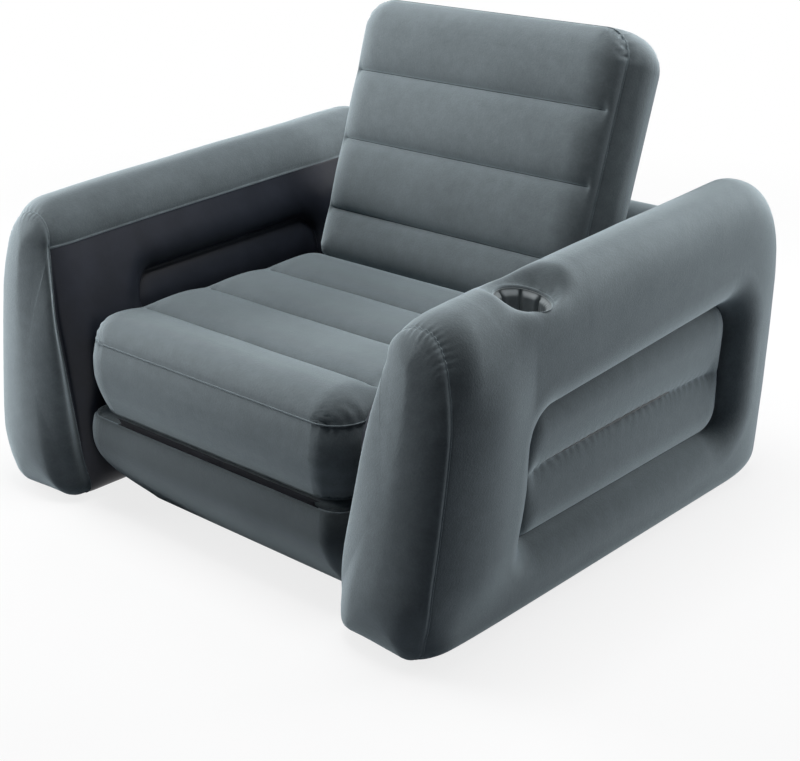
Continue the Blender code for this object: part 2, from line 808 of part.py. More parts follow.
def back_section():
    """The backrest, v up its length from its hinge and w towards its front."""
    lean = Matrix.Rotation(-BACK_LEAN, 4, "X") @ Matrix.Rotation(math.radians(90), 4, "X")
    frame = Matrix.Translation(back_hinge()) @ lean @ Matrix.Translation((0.0, HINGE_REACH, 0.0))
    return Section(BACK_HALF_WIDTH, BACK_LENGTH, BACK_RIBS, -BACK_BAND, 0.0, frame)


def base_bottom_sheet(section):
    """The flat sheet that the base stands on, inside the rounded foot of its band."""
    def place(row, col):
        x, v = section.flat_point(row, col)
        return section.frame @ Vector((*section.moved(x, v, -BASE_FOOT_ROUND), 0.0))

    bm = sheet_grid(len(section.vs) - 1, len(section.xs) - 1, place)
    face_sheet_to(bm, Vector((0.0, 0.0, -1.0)))
    return sheet_object(bm, "base_bottom", SMOOTH)


def base_band(section):
    """The base's side sheet, which turns under to its bottom."""
    rim = section.outline()
    levels = [(-BASE_FOOT_ROUND + SEAM_TUCK, 0.0)]
    levels += [(out * BASE_FOOT_ROUND, high * BASE_SEAM) for out, high in BASE_UNDER]
    levels += [(out * BULGE, high * BASE_SEAM) for out, high in BASE_SIDE]
    levels.append((0.0, BASE_SEAM - SEAM_TUCK))

    def place(row, col):
        x, v = rim[col]
        out, z = levels[row]
        return section.frame @ Vector((*section.moved(x, v, out), z))

    bm = sheet_grid(len(levels) - 1, len(rim), place, ring=True)
    bmesh.ops.recalc_face_normals(bm, faces=bm.faces)
    first = min(bm.faces, key=lambda face: face.calc_center_median().x)
    if first.normal.x > 0:
        bmesh.ops.reverse_faces(bm, faces=bm.faces)
    return sheet_object(bm, "base_band", FLOCK)


def make_base():
    section = base_section()
    section.face_sheet("base_top", FLOCK_SEAT, True, BASE_CROWN, BASE_CROWN)
    base_bottom_sheet(section)
    base_band(section)
    for rib in range(1, BASE_RIBS):
        section.web(f"base_web_{rib}", rib, 0.0, 0.0)


def make_seat():
    section = seat_section()
    section.face_sheet("seat_top", FLOCK_SEAT, True, SEAT_CROWN, VALLEY)
    under = SEAT_UNDER_CROWN - STACK_GAP
    section.face_sheet("seat_bottom", FLOCK_SEAT, False, under, under)
    section.band("seat_band", FLOCK)
    for rib in range(1, SEAT_RIBS):
        section.web(f"seat_web_{rib}", rib, SEAT_CROWN - VALLEY, 0.0)


def make_backrest():
    section = back_section()
    section.face_sheet("backrest_front", FLOCK_SEAT, True, BACK_CROWN, VALLEY)
    rear = section.face_sheet("backrest_rear", FLOCK_SEAT, False, BACK_REAR_CROWN, BACK_REAR_CROWN)
    section.band("backrest_band", FLOCK)
    for rib in range(1, BACK_RIBS):
        section.web(f"backrest_web_{rib}", rib, BACK_CROWN - VALLEY, 0.0)
    return section, rear


# Hinge strips


def strip(name, seam, axis, half, way):
    """A flat strip across the chair from a seam to a fold's axis; its thickness lies behind it."""
    seam = Vector(seam)
    axis = Vector(axis)
    along = (axis - seam).normalized()
    ends = (seam + along * SEAM_TUCK, axis - along * GAP)

    def place(row, col):
        return ends[row] + Vector((half * (2 * col - 1), 0.0, 0.0))

    bm = sheet_grid(1, 1, place)
    face_sheet_to(bm, Vector(way))
    return sheet_object(bm, name, SMOOTH)


def make_hinge_strips():
    """Each fold has two strips, one on each section, which meet on the joint axis."""
    half = SEAT_HALF_WIDTH - HINGE_END
    axis = seat_hinge()
    seam_y = FRONT + BASE_FRONT
    strip("hinge_strip_base", (0.0, seam_y, BASE_SEAM), axis, half, (0.0, 0.0, 1.0))
    strip("hinge_strip_seat", (0.0, seam_y, BASE_SEAM + HINGE_REACH), axis, half, (0.0, 0.0, -1.0))
    axis = back_hinge()
    seam = axis - Vector((0.0, HINGE_REACH, 0.0))
    strip("fold_strip_seat", seam, axis, half, (0.0, 0.0, 1.0))
    foot = back_section().frame @ Vector((0.0, 0.0, 0.0))
    strip("fold_strip_backrest", foot, axis, half, (0.0, -1.0, 0.0))


# Wall behind the backrest


def behind_backrest(z):
    """How far back the wall's front lies at a height: just clear of the backrest leaning on it."""
    through = BACK_BAND + BACK_REAR_CROWN + STACK_GAP
    hinge = back_hinge()
    return hinge.y + through / math.cos(BACK_LEAN) + (z - hinge.z) * math.tan(BACK_LEAN)


def wall_profile():
    """(y, z) places from the front foot of the wall over its top to its rear foot."""
    rear = REAR - BASE_REAR_MARGIN
    foot = BASE_SEAM + BASE_CROWN + STACK_GAP
    shoulder = WALL_HEIGHT - WALL_TOP_ROUND
    front_foot = behind_backrest(foot)
    front_top = behind_backrest(shoulder)
    front = [(lerp(front_foot, front_top, k / WALL_ROWS), lerp(foot, shoulder, k / WALL_ROWS))
             for k in range(WALL_ROWS + 1)]
    middle = (front_top + rear) / 2
    half = (rear - front_top) / 2
    top = []
    for k in range(1, 6):
        turn = math.pi * k / 6
        top.append((middle - half * math.cos(turn), shoulder + WALL_TOP_ROUND * math.sin(turn)))
    back = [(rear, lerp(shoulder, foot, k / WALL_ROWS)) for k in range(WALL_ROWS + 1)]
    return front, top, back


def wall_half(y, z):
    """Half the wall's width: it reaches to the inner sides of the arms."""
    rear = 1.0 - rounding(REAR - y, ARM_REAR_ROUND)
    scale = arm_height(y) / MID_HEIGHT * (1.0 - ARM_REAR_TOP_DROP * rear)
    section_z = (z - ARM_REAR_FOOT_LIFT * rear) / scale
    x = arm_inner_x(min(section_z, SEAM_HEIGHT))
    clear = WALL_SIDE_CLEAR if section_z > ARM_INNER_UPRIGHT else 2 * GAP
    return x - ARM_REAR_SIDE_DRAW * rear * (x - ARM_INNER) / ARM_WIDTH - clear


def wall_sheet(name, profile, way, finish):
    shares = (-1.0, -0.5, 0.0, 0.5, 1.0)

    def place(row, col):
        y, z = profile[row]
        return Vector((shares[col] * wall_half(y, z), y, z))

    bm = sheet_grid(len(profile) - 1, len(shares) - 1, place)
    face_sheet_to(bm, way)
    return sheet_object(bm, name, finish, SEAM_TUCK / 2)


def make_wall():
    front, top, back = wall_profile()
    wall_sheet("wall_front", front, Vector((0.0, -1.0, 0.0)), FLOCK)
    wall_sheet("wall_top", [front[-1]] + top + [back[0]], Vector((0.0, 0.0, 1.0)), FLOCK)
    rear = wall_sheet("wall_rear", back, Vector((0.0, 1.0, 0.0)), FLOCK)
    clear = SKIN + 2 * GAP
    row = WALL_WEB_ROW
    ends = (front[row][0] + clear, back[WALL_ROWS - row][0] - clear)
    z = front[row][1]

    def place(end, col):
        return Vector(((2 * col - 1) * (ARM_INNER - WALL_WEB_END), ends[end], z))

    sheet_object(sheet_grid(1, 1, place), "wall_web", WEB)
    return rear


# Valves


def turned(profile, name, finish, where):
    """A solid turned from closed (radius, height) corners about the Z of the matrix."""
    bm = bmesh.new()
    verts = [bm.verts.new((radius, 0.0, height)) for radius, height in profile]
    edges = [bm.edges.new((verts[k], verts[(k + 1) % len(verts)])) for k in range(len(verts))]
    bmesh.ops.spin(bm, geom=verts + edges, cent=(0, 0, 0), axis=(0, 0, 1),
                   angle=2 * math.pi, steps=VALVE_STEPS, use_merge=True)
    bmesh.ops.remove_doubles(bm, verts=bm.verts, dist=1e-7)
    bmesh.ops.recalc_face_normals(bm, faces=bm.faces)
    bmesh.ops.transform(bm, matrix=where, verts=bm.verts)
    return object_from(bm, name, finish)


def disc(radius, low, high, name, finish, where, tab=0.0):
    """A round plate, with a straight tab on its +X side that reaches to its hinge."""
    bm = bmesh.new()
    lift = Matrix.Translation((0.0, 0.0, (low + high) / 2))
    bmesh.ops.create_cone(bm, cap_ends=True, segments=VALVE_STEPS, radius1=radius, radius2=radius,
                          depth=high - low, matrix=lift)
    if tab:
        edge = max(bm.faces, key=lambda face: face.calc_center_median().x)
        grown = bmesh.ops.extrude_discrete_faces(bm, faces=[edge])["faces"][0]
        for vert in grown.verts:
            vert.co.x = tab
    bmesh.ops.recalc_face_normals(bm, faces=bm.faces)
    bmesh.ops.transform(bm, matrix=where, verts=bm.verts)
    return object_from(bm, name, finish)


def make_valve(word, panel, where):
    """A two-in-one valve. Z of the matrix points out of the panel, at its outer face."""
    cutter = round_cutter(word + "_valve_hole", VALVE_NECK + GAP, VALVE_HOLE_CUT, where, VALVE_STEPS)
    cut_hole(panel, cutter)
    inner = -SKIN - GAP
    bore = VALVE_NECK - VALVE_WALL
    flange = [(VALVE_NECK, VALVE_LIP), (VALVE_NECK, inner), (VALVE_FLANGE, inner),
              (VALVE_FLANGE, inner - VALVE_WALL), (VALVE_NECK, inner - VALVE_WALL),
              (VALVE_NECK, -VALVE_DEPTH), (bore, -VALVE_DEPTH), (bore, VALVE_LIP)]
    turned(flange, word + "_valve_flange", PLASTIC, where)
    outer = bore - VALVE_CLEAR
    seat_low = -VALVE_DEPTH
    port = VALVE_SEAT_SHARE * outer
    insert = [(outer, VALVE_LIP), (outer, seat_low), (port, seat_low),
              (port, seat_low + VALVE_WALL), (outer - VALVE_WALL, seat_low + VALVE_WALL),
              (outer - VALVE_WALL, VALVE_LIP)]
    body = turned(insert, word + "_valve_insert", PLASTIC, where)
    set_origin([body], where.translation)
    flap_high = seat_low - GAP
    reach = FLAP_SHARE * outer
    flap = disc(reach, flap_high - FLAP_THICK, flap_high, word + "_valve_flap", SMOOTH, where)
    set_origin([flap], where @ Vector((reach, 0.0, flap_high)))
    cap_low = VALVE_LIP + GAP
    cap_high = cap_low + PLUG_THICK
    reach = outer + HINGE_REACH_OUT
    cap = disc(outer, cap_low, cap_high, word + "_valve_cap", PLASTIC, where, tab=reach)
    set_origin([cap], where @ Vector((reach, 0.0, cap_high)))


def make_valves(wall_rear, section, back_rear):
    place = Matrix.Translation((FRAME_VALVE_ACROSS, REAR - BASE_REAR_MARGIN, FRAME_VALVE_HEIGHT))
    turn = Matrix.Rotation(math.radians(-90), 4, "X")
    make_valve("frame", wall_rear, place @ turn)
    pitch = BACK_LENGTH / BACK_RIBS
    v = pitch * (BED_VALVE_RIB + 0.5)
    flat = section.height(BED_VALVE_ACROSS, v - pitch / 4, BACK_REAR_CROWN, BACK_REAR_CROWN)
    spot = Matrix.Translation((BED_VALVE_ACROSS, v, section.low - flat))
    flip = Matrix.Rotation(math.radians(180), 4, "X")
    make_valve("bed", back_rear, section.frame @ spot @ flip)


def build():
    clear_scene()
    right = make_arm("right", 1)
    make_arm("left", -1)
    make_cup_holder(right["cover"])
    make_base()
    make_seat()
    section, back_rear = make_backrest()
    make_hinge_strips()
    wall_rear = make_wall()
    make_valves(wall_rear, section, back_rear)
    set_origin(named("seat_", "hinge_strip_seat", "fold_strip_seat"), seat_hinge())
    backrest = named("backrest_", "fold_strip_backrest", "bed_valve_flange")
    set_origin(backrest, back_hinge())


build()
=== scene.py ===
"""Looks of an inflatable armchair bed: flocked arms, seat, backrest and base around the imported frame."""

import math

import bmesh
import bpy
import numpy as np
from mathutils import Matrix, Vector, noise


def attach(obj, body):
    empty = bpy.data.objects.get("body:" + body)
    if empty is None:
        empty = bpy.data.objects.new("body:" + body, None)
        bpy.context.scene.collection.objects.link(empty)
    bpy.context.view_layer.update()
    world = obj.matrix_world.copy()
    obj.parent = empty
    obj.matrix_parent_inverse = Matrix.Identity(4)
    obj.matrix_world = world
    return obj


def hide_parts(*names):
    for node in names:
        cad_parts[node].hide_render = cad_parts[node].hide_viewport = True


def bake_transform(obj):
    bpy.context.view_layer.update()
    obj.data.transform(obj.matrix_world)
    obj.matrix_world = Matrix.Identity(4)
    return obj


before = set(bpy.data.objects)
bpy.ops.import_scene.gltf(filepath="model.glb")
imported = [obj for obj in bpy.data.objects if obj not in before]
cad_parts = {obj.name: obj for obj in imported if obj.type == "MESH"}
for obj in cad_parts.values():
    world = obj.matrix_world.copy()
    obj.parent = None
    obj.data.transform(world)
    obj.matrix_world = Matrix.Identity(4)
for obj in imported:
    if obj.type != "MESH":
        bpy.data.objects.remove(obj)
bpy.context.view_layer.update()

# Sizes shared with the solids
HALF_WIDTH = 0.592
REAR = 0.5515
FRONT = -0.5448
LENGTH = REAR - FRONT
ARM_WIDTH = 0.234
ARM_INNER = HALF_WIDTH - ARM_WIDTH
ARM_FRONT_HEIGHT = 0.589
ARM_RISE = 0.0505
ARM_REAR_HEIGHT = ARM_FRONT_HEIGHT + ARM_RISE
MID_HEIGHT = ARM_FRONT_HEIGHT + ARM_RISE / 2
ARM_REAR_CREST = 0.1345
ARM_CROWN_IN = 0.080
ARM_SEAM_IN = 0.152
ARM_SEAM_DROP = 0.0815
SEAM_HEIGHT = MID_HEIGHT - ARM_SEAM_DROP
ARM_SIDE_DROP = 0.1245
ARM_SIDE_SQUARE = 0.8
ARM_SIDE_LEAN = 0.016
ARM_SIDE_WIDEST = 0.4795
ARM_FOOT_ROUND = 0.038
ARM_INNER_FOOT = 0.048
ARM_INNER_UPRIGHT = 0.562 * MID_HEIGHT
ARM_FRONT_LEAN = 0.067
ARM_FRONT_LEAN_FROM = 0.060
ARM_FRONT_ROUND = 0.072
ARM_FRONT_DROP = 0.016
ARM_FRONT_SEAM_LEAN = 0.091
ARM_REAR_ROUND = 0.144
ARM_REAR_TOP_DROP = 0.2875
ARM_REAR_FOOT_LIFT = 0.0335
ARM_REAR_SIDE_DRAW = 0.050

# The outline of each sunk panel, along the arm and up it, at the seam with the arm's sheet
OUTER_PANEL = (0.280, 0.934, 0.128, 0.383)
INNER_PANEL = (0.222, 0.748, 0.241, 0.431)
OUTER_SINK = {"depth": 0.060, "bulge": 0.031, "roll": 0.070, "seed": 3.0}
INNER_SINK = {"depth": 0.044, "bulge": 0.015, "roll": 0.064, "seed": 7.0}
PANEL_CORNER = 0.052
WELD_BOW = 0.010
PANEL_FLARE = 0.17
PANEL_LEAN = 0.027
INNER_SEAM_BACK = 0.0448
FRONT_DOME = 0.030
FRONT_SWELL = 0.100
FRONT_LIP = {"inner": 0.018, "crest": 0.006, "outer": 0.004, "foot": 0.002, "bottom": 0.0}
FRONT_LIP_AT = 0.011
CREST_DRAW = 0.016
FOOT_DRAW = 0.015
COLUMN_BULGE = 0.014

CUP_RADIUS = 0.048
CUP_FOOT_RADIUS = 0.0355
CUP_DEPTH = 0.0815
CUP = Vector((HALF_WIDTH - 0.062, FRONT + 0.2915, 0.570))
CUP_SLOPE = (-0.19, -0.03)
CUP_LIP = 0.0042
CUP_LEVEL_REACH = 0.0540
# The liner's folds: where each lies round the cup and its width, in degrees, and its depth
CUP_FOLDS = ((20, 4.0, 0.7), (89, 4.2, 1.0), (132, 4.6, 1.0), (182, 4.2, 0.9), (232, 5.0, 0.8),
             (282, 5.0, 0.9), (330, 4.5, 0.8))
CUP_PLEATS_AT = 54

BULGE = 0.012
CORNER = 0.0625
EDGE_ROUND = 0.067
WELD_END = 0.046
HINGE_REACH = 0.0135
HINGE_END = 0.0595
BASE_FRONT = 0.045
BASE_REAR_MARGIN = 0.043
BASE_SEAM = 0.1975
BASE_CROWN = 0.0065
BASE_WIDEST = 0.152
BASE_FOOT_ROUND = 0.096
BASE_SIDE_ROUND = 0.046
BASE_HALF_WIDTH = ARM_INNER - BULGE - 0.0006
SEAT_LENGTH = 0.5775 * LENGTH
SEAT_WELDS = (0.134, 0.302, 0.471)
SEAT_BAND = 0.144
SEAT_CROWN = 0.050
SEAT_LOW = BASE_SEAM + HINGE_REACH
SEAT_HALF_WIDTH = ARM_INNER - BULGE - 0.0025
BACK_LEAN = math.radians(18.4)
BACK_HALF_WIDTH = ARM_INNER - BULGE - 0.0105
BACK_LENGTH = 0.5755
BACK_WELDS = (0.115, 0.269, 0.418)
BACK_BAND = 0.1055
BACK_CROWN = 0.043
BACK_REAR_CROWN = 0.019
WALL_HEIGHT = 0.8625 * ARM_REAR_HEIGHT
WALL_TOP_ROUND = 0.0575


def lerp(a, b, t):
    return a + (b - a) * t


def clamp(value, low=0.0, high=1.0):
    return max(low, min(high, value))


def ease(t):
    t = clamp(t)
    return t * t * (3.0 - 2.0 * t)


def rounding(distance, radius):
    """0 at the edge of a form, 1 from the radius inwards, on a quarter circle."""
    if distance >= radius:
        return 1.0
    return math.sqrt(1.0 - (1.0 - max(distance, 0.0) / radius) ** 2)


def swelling(distance, radius):
    """Like rounding, but the form leaves its edge less steeply, as a sheet does at a weld."""
    t = clamp(distance / radius)
    return 0.5 * (math.sqrt(1.0 - (1.0 - t) ** 2) + 1.0 - (1.0 - t) ** 2)


def spread(stops, steps):
    """Values from stop to stop, each stretch cut into its number of steps."""
    values = [stops[0]]
    for start, end, count in zip(stops, stops[1:], steps):
        values += [lerp(start, end, k / count) for k in range(1, count + 1)]
    return values


def ripple(place, scale, seed=0.0):
    """Smooth noise from -1 to 1 at a place."""
    return noise.noise(Vector(place) * scale + Vector((seed, 2.3 * seed, -seed)))


# Meshes


def grid_bmesh(rows, cols, place, ring=False):
    """A grid of rows x cols cells with its corners at place(row, col); its faces keep both numbers."""
    bm = bmesh.new()
    bmesh.ops.create_grid(bm, x_segments=cols, y_segments=rows, size=0.5)
    row_of = bm.faces.layers.int.new("row")
    col_of = bm.faces.layers.int.new("col")
    for face in bm.faces:
        middle = face.calc_center_median()
        face[row_of] = int((middle.y + 0.5) * rows)
        face[col_of] = int((middle.x + 0.5) * cols)
    for vert in bm.verts:
        row = round((vert.co.y + 0.5) * rows)
        col = round((vert.co.x + 0.5) * cols)
        vert.co = place(row, col % cols if ring else col)
    if ring:
        edge = [vert for vert in bm.verts if any(e.is_boundary for e in vert.link_edges)]
        bmesh.ops.remove_doubles(bm, verts=edge, dist=1e-6)
    return bm


def close_loops(bm):
    """Closes each open loop with one face."""
    left = {edge for edge in bm.edges if edge.is_boundary}
    while left:
        loop, todo = [], [left.pop()]
        while todo:
            edge = todo.pop()
            loop.append(edge)
            near = [e for vert in edge.verts for e in vert.link_edges if e in left]
            left.difference_update(near)
            todo += near
        bmesh.ops.contextual_create(bm, geom=loop)


def piece(bm, name, body, finishes):
    """Makes a finished object of a bmesh: smooth shaded, riding on a body."""
    mesh = bpy.data.meshes.new(name)
    bm.to_mesh(mesh)
    bm.free()
    for finish in finishes:
        mesh.materials.append(finish)
    mesh.shade_smooth()
    obj = bpy.data.objects.new(name, mesh)
    bpy.context.scene.collection.objects.link(obj)
    if body:
        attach(obj, body)
    return obj


def tube_bmesh(path, ups, half_width, half_height, sides=8, closed=False):
    """A flattened tube along a path; ups point out of the surface that it lies on."""
    count = len(path)
    turns = [2 * math.pi * k / sides for k in range(sides)]

    def place(row, col):
        here = path[row % count]
        after = path[(row + 1) % count] if closed else path[min(row + 1, count - 1)]
        before = path[(row - 1) % count] if closed else path[max(row - 1, 0)]
        along = (after - before).normalized()
        up = ups[row % count]
        across = along.cross(up).normalized()
        turn = turns[col % sides]
        return here + across * (half_width * math.cos(turn)) + up * (half_height * math.sin(turn))

    bm = grid_bmesh(count if closed else count - 1, sides, place)
    bmesh.ops.remove_doubles(bm, verts=bm.verts, dist=1e-6)
    if not closed:
        close_loops(bm)
    bmesh.ops.recalc_face_normals(bm, faces=bm.faces)
    return bm


# Finishes


class Value:
    """One socket of a material's nodes. Sums and products of values add Math nodes."""

    def __init__(self, finish, socket):
        self.finish = finish
        self.socket = socket

    def math(self, operation, first, second, clamped=False):
        return self.finish.node("ShaderNodeMath", {"operation": operation, "use_clamp": clamped},
                                {0: first, 1: second})

    def __add__(self, other):
        return self.math("ADD", self, other)

    def __mul__(self, other):
        return self.math("MULTIPLY", self, other)

    def __radd__(self, other):
        return self.math("ADD", other, self)

    def __rmul__(self, other):
        return self.math("MULTIPLY", other, self)

    def clamp(self):
        return self.math("ADD", self, 0.0, clamped=True)


class Finish:
    """A material under construction, with the Principled shader's sockets set by name."""

    def __init__(self, name):
        self.material = bpy.data.materials.new(name)
        self.material.use_nodes = True
        self.tree = self.material.node_tree
        self.shader = self.tree.nodes["Principled BSDF"]
        self.place = self.node("ShaderNodeTexCoord", {}, {}, "Object")

    def fill(self, socket, value):
        """Links a value to a socket, or sets the socket to a number or a colour."""
        if isinstance(value, Value):
            self.tree.links.new(value.socket, socket)
        else:
            socket.default_value = value

    def node(self, kind, settings, inputs, output=0):
        """Adds a node, sets it up and fills its inputs; gives one of its outputs."""
        made = self.tree.nodes.new(kind)
        for key, value in settings.items():
            setattr(made, key, value)
        for key, value in inputs.items():
            self.fill(made.inputs[key], value)
        return Value(self, made.outputs[output])

    def noise(self, scale, detail=2.0, rough=0.5):
        return self.node("ShaderNodeTexNoise", {}, {
            "Vector": self.place, "Scale": scale, "Detail": detail, "Roughness": rough})

    def mix(self, factor, first, second, blend="MIX"):
        return self.node("ShaderNodeMix", {"data_type": "RGBA", "blend_type": blend},
                         {0: factor, 6: first, 7: second}, 2)

    def ramp(self, factor, stops):
        made = self.tree.nodes.new("ShaderNodeValToRGB")
        while len(made.color_ramp.elements) < len(stops):
            made.color_ramp.elements.new(0.5)
        for element, (place, colour) in zip(made.color_ramp.elements, stops):
            element.position = place
            element.color = colour
        self.fill(made.inputs[0], factor)
        return Value(self, made.outputs[0])

    def bump(self, height, strength, distance):
        return self.node("ShaderNodeBump", {}, {
            "Height": height, "Strength": strength, "Distance": distance})

    def set(self, **inputs):
        """Fills the shader's sockets, and gives the material."""
        for key, value in inputs.items():
            self.fill(self.shader.inputs[key.replace("_", " ")], value)
        return self.material


WHITE = (1, 1, 1)


def grey(level, tint=(0.85, 1.0, 1.07)):
    """A cool grey of a linear level, as an RGBA."""
    return (level * tint[0], level * tint[1], level * tint[2], 1.0)


def flock(name, level, sheen=1.0):
    """Short velvety flocking: soft clouds where the pile is brushed, and a fine grain."""
    finish = Finish(name)
    clouds = finish.noise(7.0, 3.0, 0.6)
    mottle = finish.noise(38.0, 4.0, 0.65)
    grain = finish.noise(260.0, 3.0, 0.6)
    fine = finish.noise(1300.0, 1.0, 0.5)
    tone = 0.40 * clouds + 0.60 * mottle
    colour = finish.ramp(tone, [(0.36, grey(level * 0.78)), (0.50, grey(level)),
                                (0.64, grey(level * 1.24))])
    speckle = finish.ramp(grain, [(0.35, grey(0.80, WHITE)), (0.65, grey(1.0, WHITE))])
    colour = finish.mix(0.8, colour, speckle, "MULTIPLY")
    pile = 0.7 * grain + 0.3 * fine
    return finish.set(Base_Color=colour, Roughness=0.84 + 0.12 * mottle, Sheen_Weight=sheen,
                      Sheen_Roughness=0.60, Sheen_Tint=(0.84, 0.98, 1.04, 1.0),
                      Specular_IOR_Level=0.04, Normal=finish.bump(pile, 0.40, 0.0014))


def vinyl(name, level, rough=0.40, tint=(0.78, 0.92, 1.34), shine=0.22):
    """Smooth dark vinyl with a faint calendered grain and soft handling marks."""
    finish = Finish(name)
    marks = finish.noise(16.0, 4.0, 0.6)
    grain = finish.noise(700.0, 2.0, 0.5)
    colour = finish.ramp(marks, [(0.35, grey(level * 0.82, tint)), (0.65, grey(level * 1.15, tint))])
    return finish.set(Base_Color=colour, Roughness=rough - 0.06 + 0.14 * marks,
                      Specular_IOR_Level=shine, Normal=finish.bump(grain, 0.12, 0.0004))


def moulded(name, level, rough=0.38):
    """Moulded plastic of a valve, with a light texture."""
    finish = Finish(name)
    grain = finish.noise(900.0, 2.0, 0.5)
    marks = finish.noise(60.0, 3.0, 0.5)
    colour = finish.ramp(marks, [(0.3, grey(level * 0.85)), (0.7, grey(level * 1.1))])
    return finish.set(Base_Color=colour, Roughness=rough - 0.05 + 0.12 * marks,
                      Normal=finish.bump(grain, 0.15, 0.0003))


FLOCK = flock("grey_flock", 0.092)
# The base's flock is the arms' flock made darker and less sheeny: painted shade under the seat.
BASE_PAINTED_SHADE_FLOCK = flock("base_painted_shade_flock", 0.040, 0.7)
SEAM_FLOCK = flock("pressed_flock_seam", 0.19, 0.6)
VINYL = vinyl("dark_vinyl", 0.020)
# Dark vinyl of the hinge webs, made darker than the arms' vinyl as painted shade under the seat's
# overhang; the valve flaps wear it too.
HINGE_PAINTED_SHADE_VINYL = vinyl("hinge_painted_shade_vinyl", 0.011, 0.50, shine=0.06)
CUP_VINYL = vinyl("cup_liner_vinyl", 0.23, 0.42, (0.9, 1.0, 1.04))
VALVE = moulded("valve_plastic", 0.045)
INNER_SHEET = vinyl("inner_web_vinyl", 0.20, 0.5, (0.95, 1.0, 1.03))


# Arms


def arm_height(y):
    """Height of the arm's crest, which rises from the front to the rear."""
    return lerp(ARM_FRONT_HEIGHT, ARM_REAR_HEIGHT, min(1.0, (y - FRONT) / (LENGTH - ARM_REAR_CREST)))


def arm_inner_x(z):
    """The inner side, upright below and leaning out to the seam above."""
    rise = max(0.0, (z - ARM_INNER_UPRIGHT) / (SEAM_HEIGHT - ARM_INNER_UPRIGHT))
    return lerp(ARM_INNER, HALF_WIDTH - ARM_SEAM_IN, rise ** 1.5)


def arm_outer_x(z):
    """The outer side, drawn in towards the foot."""
    below = max(0.0, ARM_SIDE_WIDEST - z) / ARM_SIDE_WIDEST
    return HALF_WIDTH - ARM_SIDE_LEAN * below ** 2


def arc(count, centre, start, end, power=1.0):
    """Places on a quarter of an oval, from the start round to the end; start and end are offsets."""
    places = []
    for k in range(1, count + 1):
        turn = 0.5 * math.pi * k / count
        near = max(0.0, math.cos(turn)) ** power
        far = math.sin(turn) ** power
        places.append((centre[0] + start[0] * near + end[0] * far,
                       centre[1] + start[1] * near + end[1] * far))
    return places


def arm_section():
    """Places round the arm's full section, from the bottom up its inner side: (x, z, zone)."""
    foot_x = arm_outer_x(0.0) - ARM_FOOT_ROUND
    inner_x = ARM_INNER + ARM_INNER_FOOT
    crown_x = HALF_WIDTH - ARM_CROWN_IN
    side_z = MID_HEIGHT - ARM_SIDE_DROP
    side_x = arm_outer_x(side_z)
    section = [(x, 0.0, "bottom") for x in spread([foot_x, inner_x], [12])]
    section += [(x, z, "inner") for x, z in
                arc(9, (inner_x, ARM_INNER_FOOT), (0.0, -ARM_INNER_FOOT), (-ARM_INNER_FOOT, 0.0))]
    section += [(arm_inner_x(z), z, "inner") for z in spread([ARM_INNER_FOOT, SEAM_HEIGHT], [86])[1:]]
    seam_x = HALF_WIDTH - ARM_SEAM_IN
    section += [(x, z, "crest") for x, z in
                arc(26, (crown_x, SEAM_HEIGHT), (seam_x - crown_x, 0.0), (0.0, ARM_SEAM_DROP))]
    section += [(x, z, "crest") for x, z in
                arc(38, (crown_x, side_z), (0.0, ARM_SIDE_DROP), (side_x - crown_x, 0.0),
                    ARM_SIDE_SQUARE)]
    section += [(arm_outer_x(z), z, "outer") for z in spread([side_z, ARM_FOOT_ROUND], [98])[1:]]
    reach = arm_outer_x(ARM_FOOT_ROUND) - foot_x
    section += [(x, z, "foot") for x, z in
                arc(12, (foot_x, ARM_FOOT_ROUND), (reach, 0.0), (0.0, -ARM_FOOT_ROUND))][:-1]
    return section


SECTION = arm_section()
COLS = len(SECTION)
CREST = [k for k, (_, _, zone) in enumerate(SECTION) if zone == "crest"]
CREST_LENGTH = sum((Vector(SECTION[k][:2]) - Vector(SECTION[k - 1][:2])).length for k in CREST)
SEAM_COL = CREST[0] - 1


def section_inward():
    """The way into the arm at each place of the section."""
    ways = []
    for k in range(COLS):
        before = Vector(SECTION[k - 1][:2])
        after = Vector(SECTION[(k + 1) % COLS][:2])
        along = (after - before).normalized()
        ways.append(Vector((along.y, -along.x)))
    return ways


INWARD = section_inward()


def section_lengths():
    """Distance along the section from its first place to each."""
    total = [0.0]
    for k in range(1, COLS):
        total.append(total[-1] + (Vector(SECTION[k][:2]) - Vector(SECTION[k - 1][:2])).length)
    return total


AROUND = section_lengths()


def panel_flare(panel, along, above):
    """The upper edge of the outer panel rises towards its rear."""
    start, end = panel[:2]
    if panel is not OUTER_PANEL or above < 0.0:
        return 1.0
    return 1.0 + PANEL_FLARE * (clamp((along - start) / (end - start)) - 0.5)


def panel_lean(panel, along, z):
    """The front end of the outer panel runs forwards towards its foot."""
    start, end, low, high = panel
    if panel is not OUTER_PANEL:
        return 0.0
    below = clamp(((low + high) / 2 - z) / ((high - low) / 2))
    return PANEL_LEAN * below ** 1.3 * (1.0 - clamp((along - start) / (end - start)))


def panel_distance(panel, along, z):
    """Distance inside a sunk panel's rounded outline (negative outside) and the way inwards."""
    start, end, low, high = panel
    middle = Vector(((start + end) / 2, (low + high) / 2))
    half = Vector(((end - start) / 2 - PANEL_CORNER, (high - low) / 2 - PANEL_CORNER))
    away = Vector((along, z)) - middle
    away.y /= panel_flare(panel, along, away.y)
    sign = Vector((math.copysign(1.0, away.x), math.copysign(1.0, away.y)))
    over = Vector((abs(away.x) - half.x, abs(away.y) - half.y))
    if over.x > 0 and over.y > 0:
        distance = PANEL_CORNER - over.length
        way = Vector((-sign.x * over.x, -sign.y * over.y)).normalized()
    elif over.x > over.y:
        distance = PANEL_CORNER - over.x
        way = Vector((-sign.x, 0.0))
    else:
        distance = PANEL_CORNER - over.y
        way = Vector((0.0, -sign.y))
    return distance, way


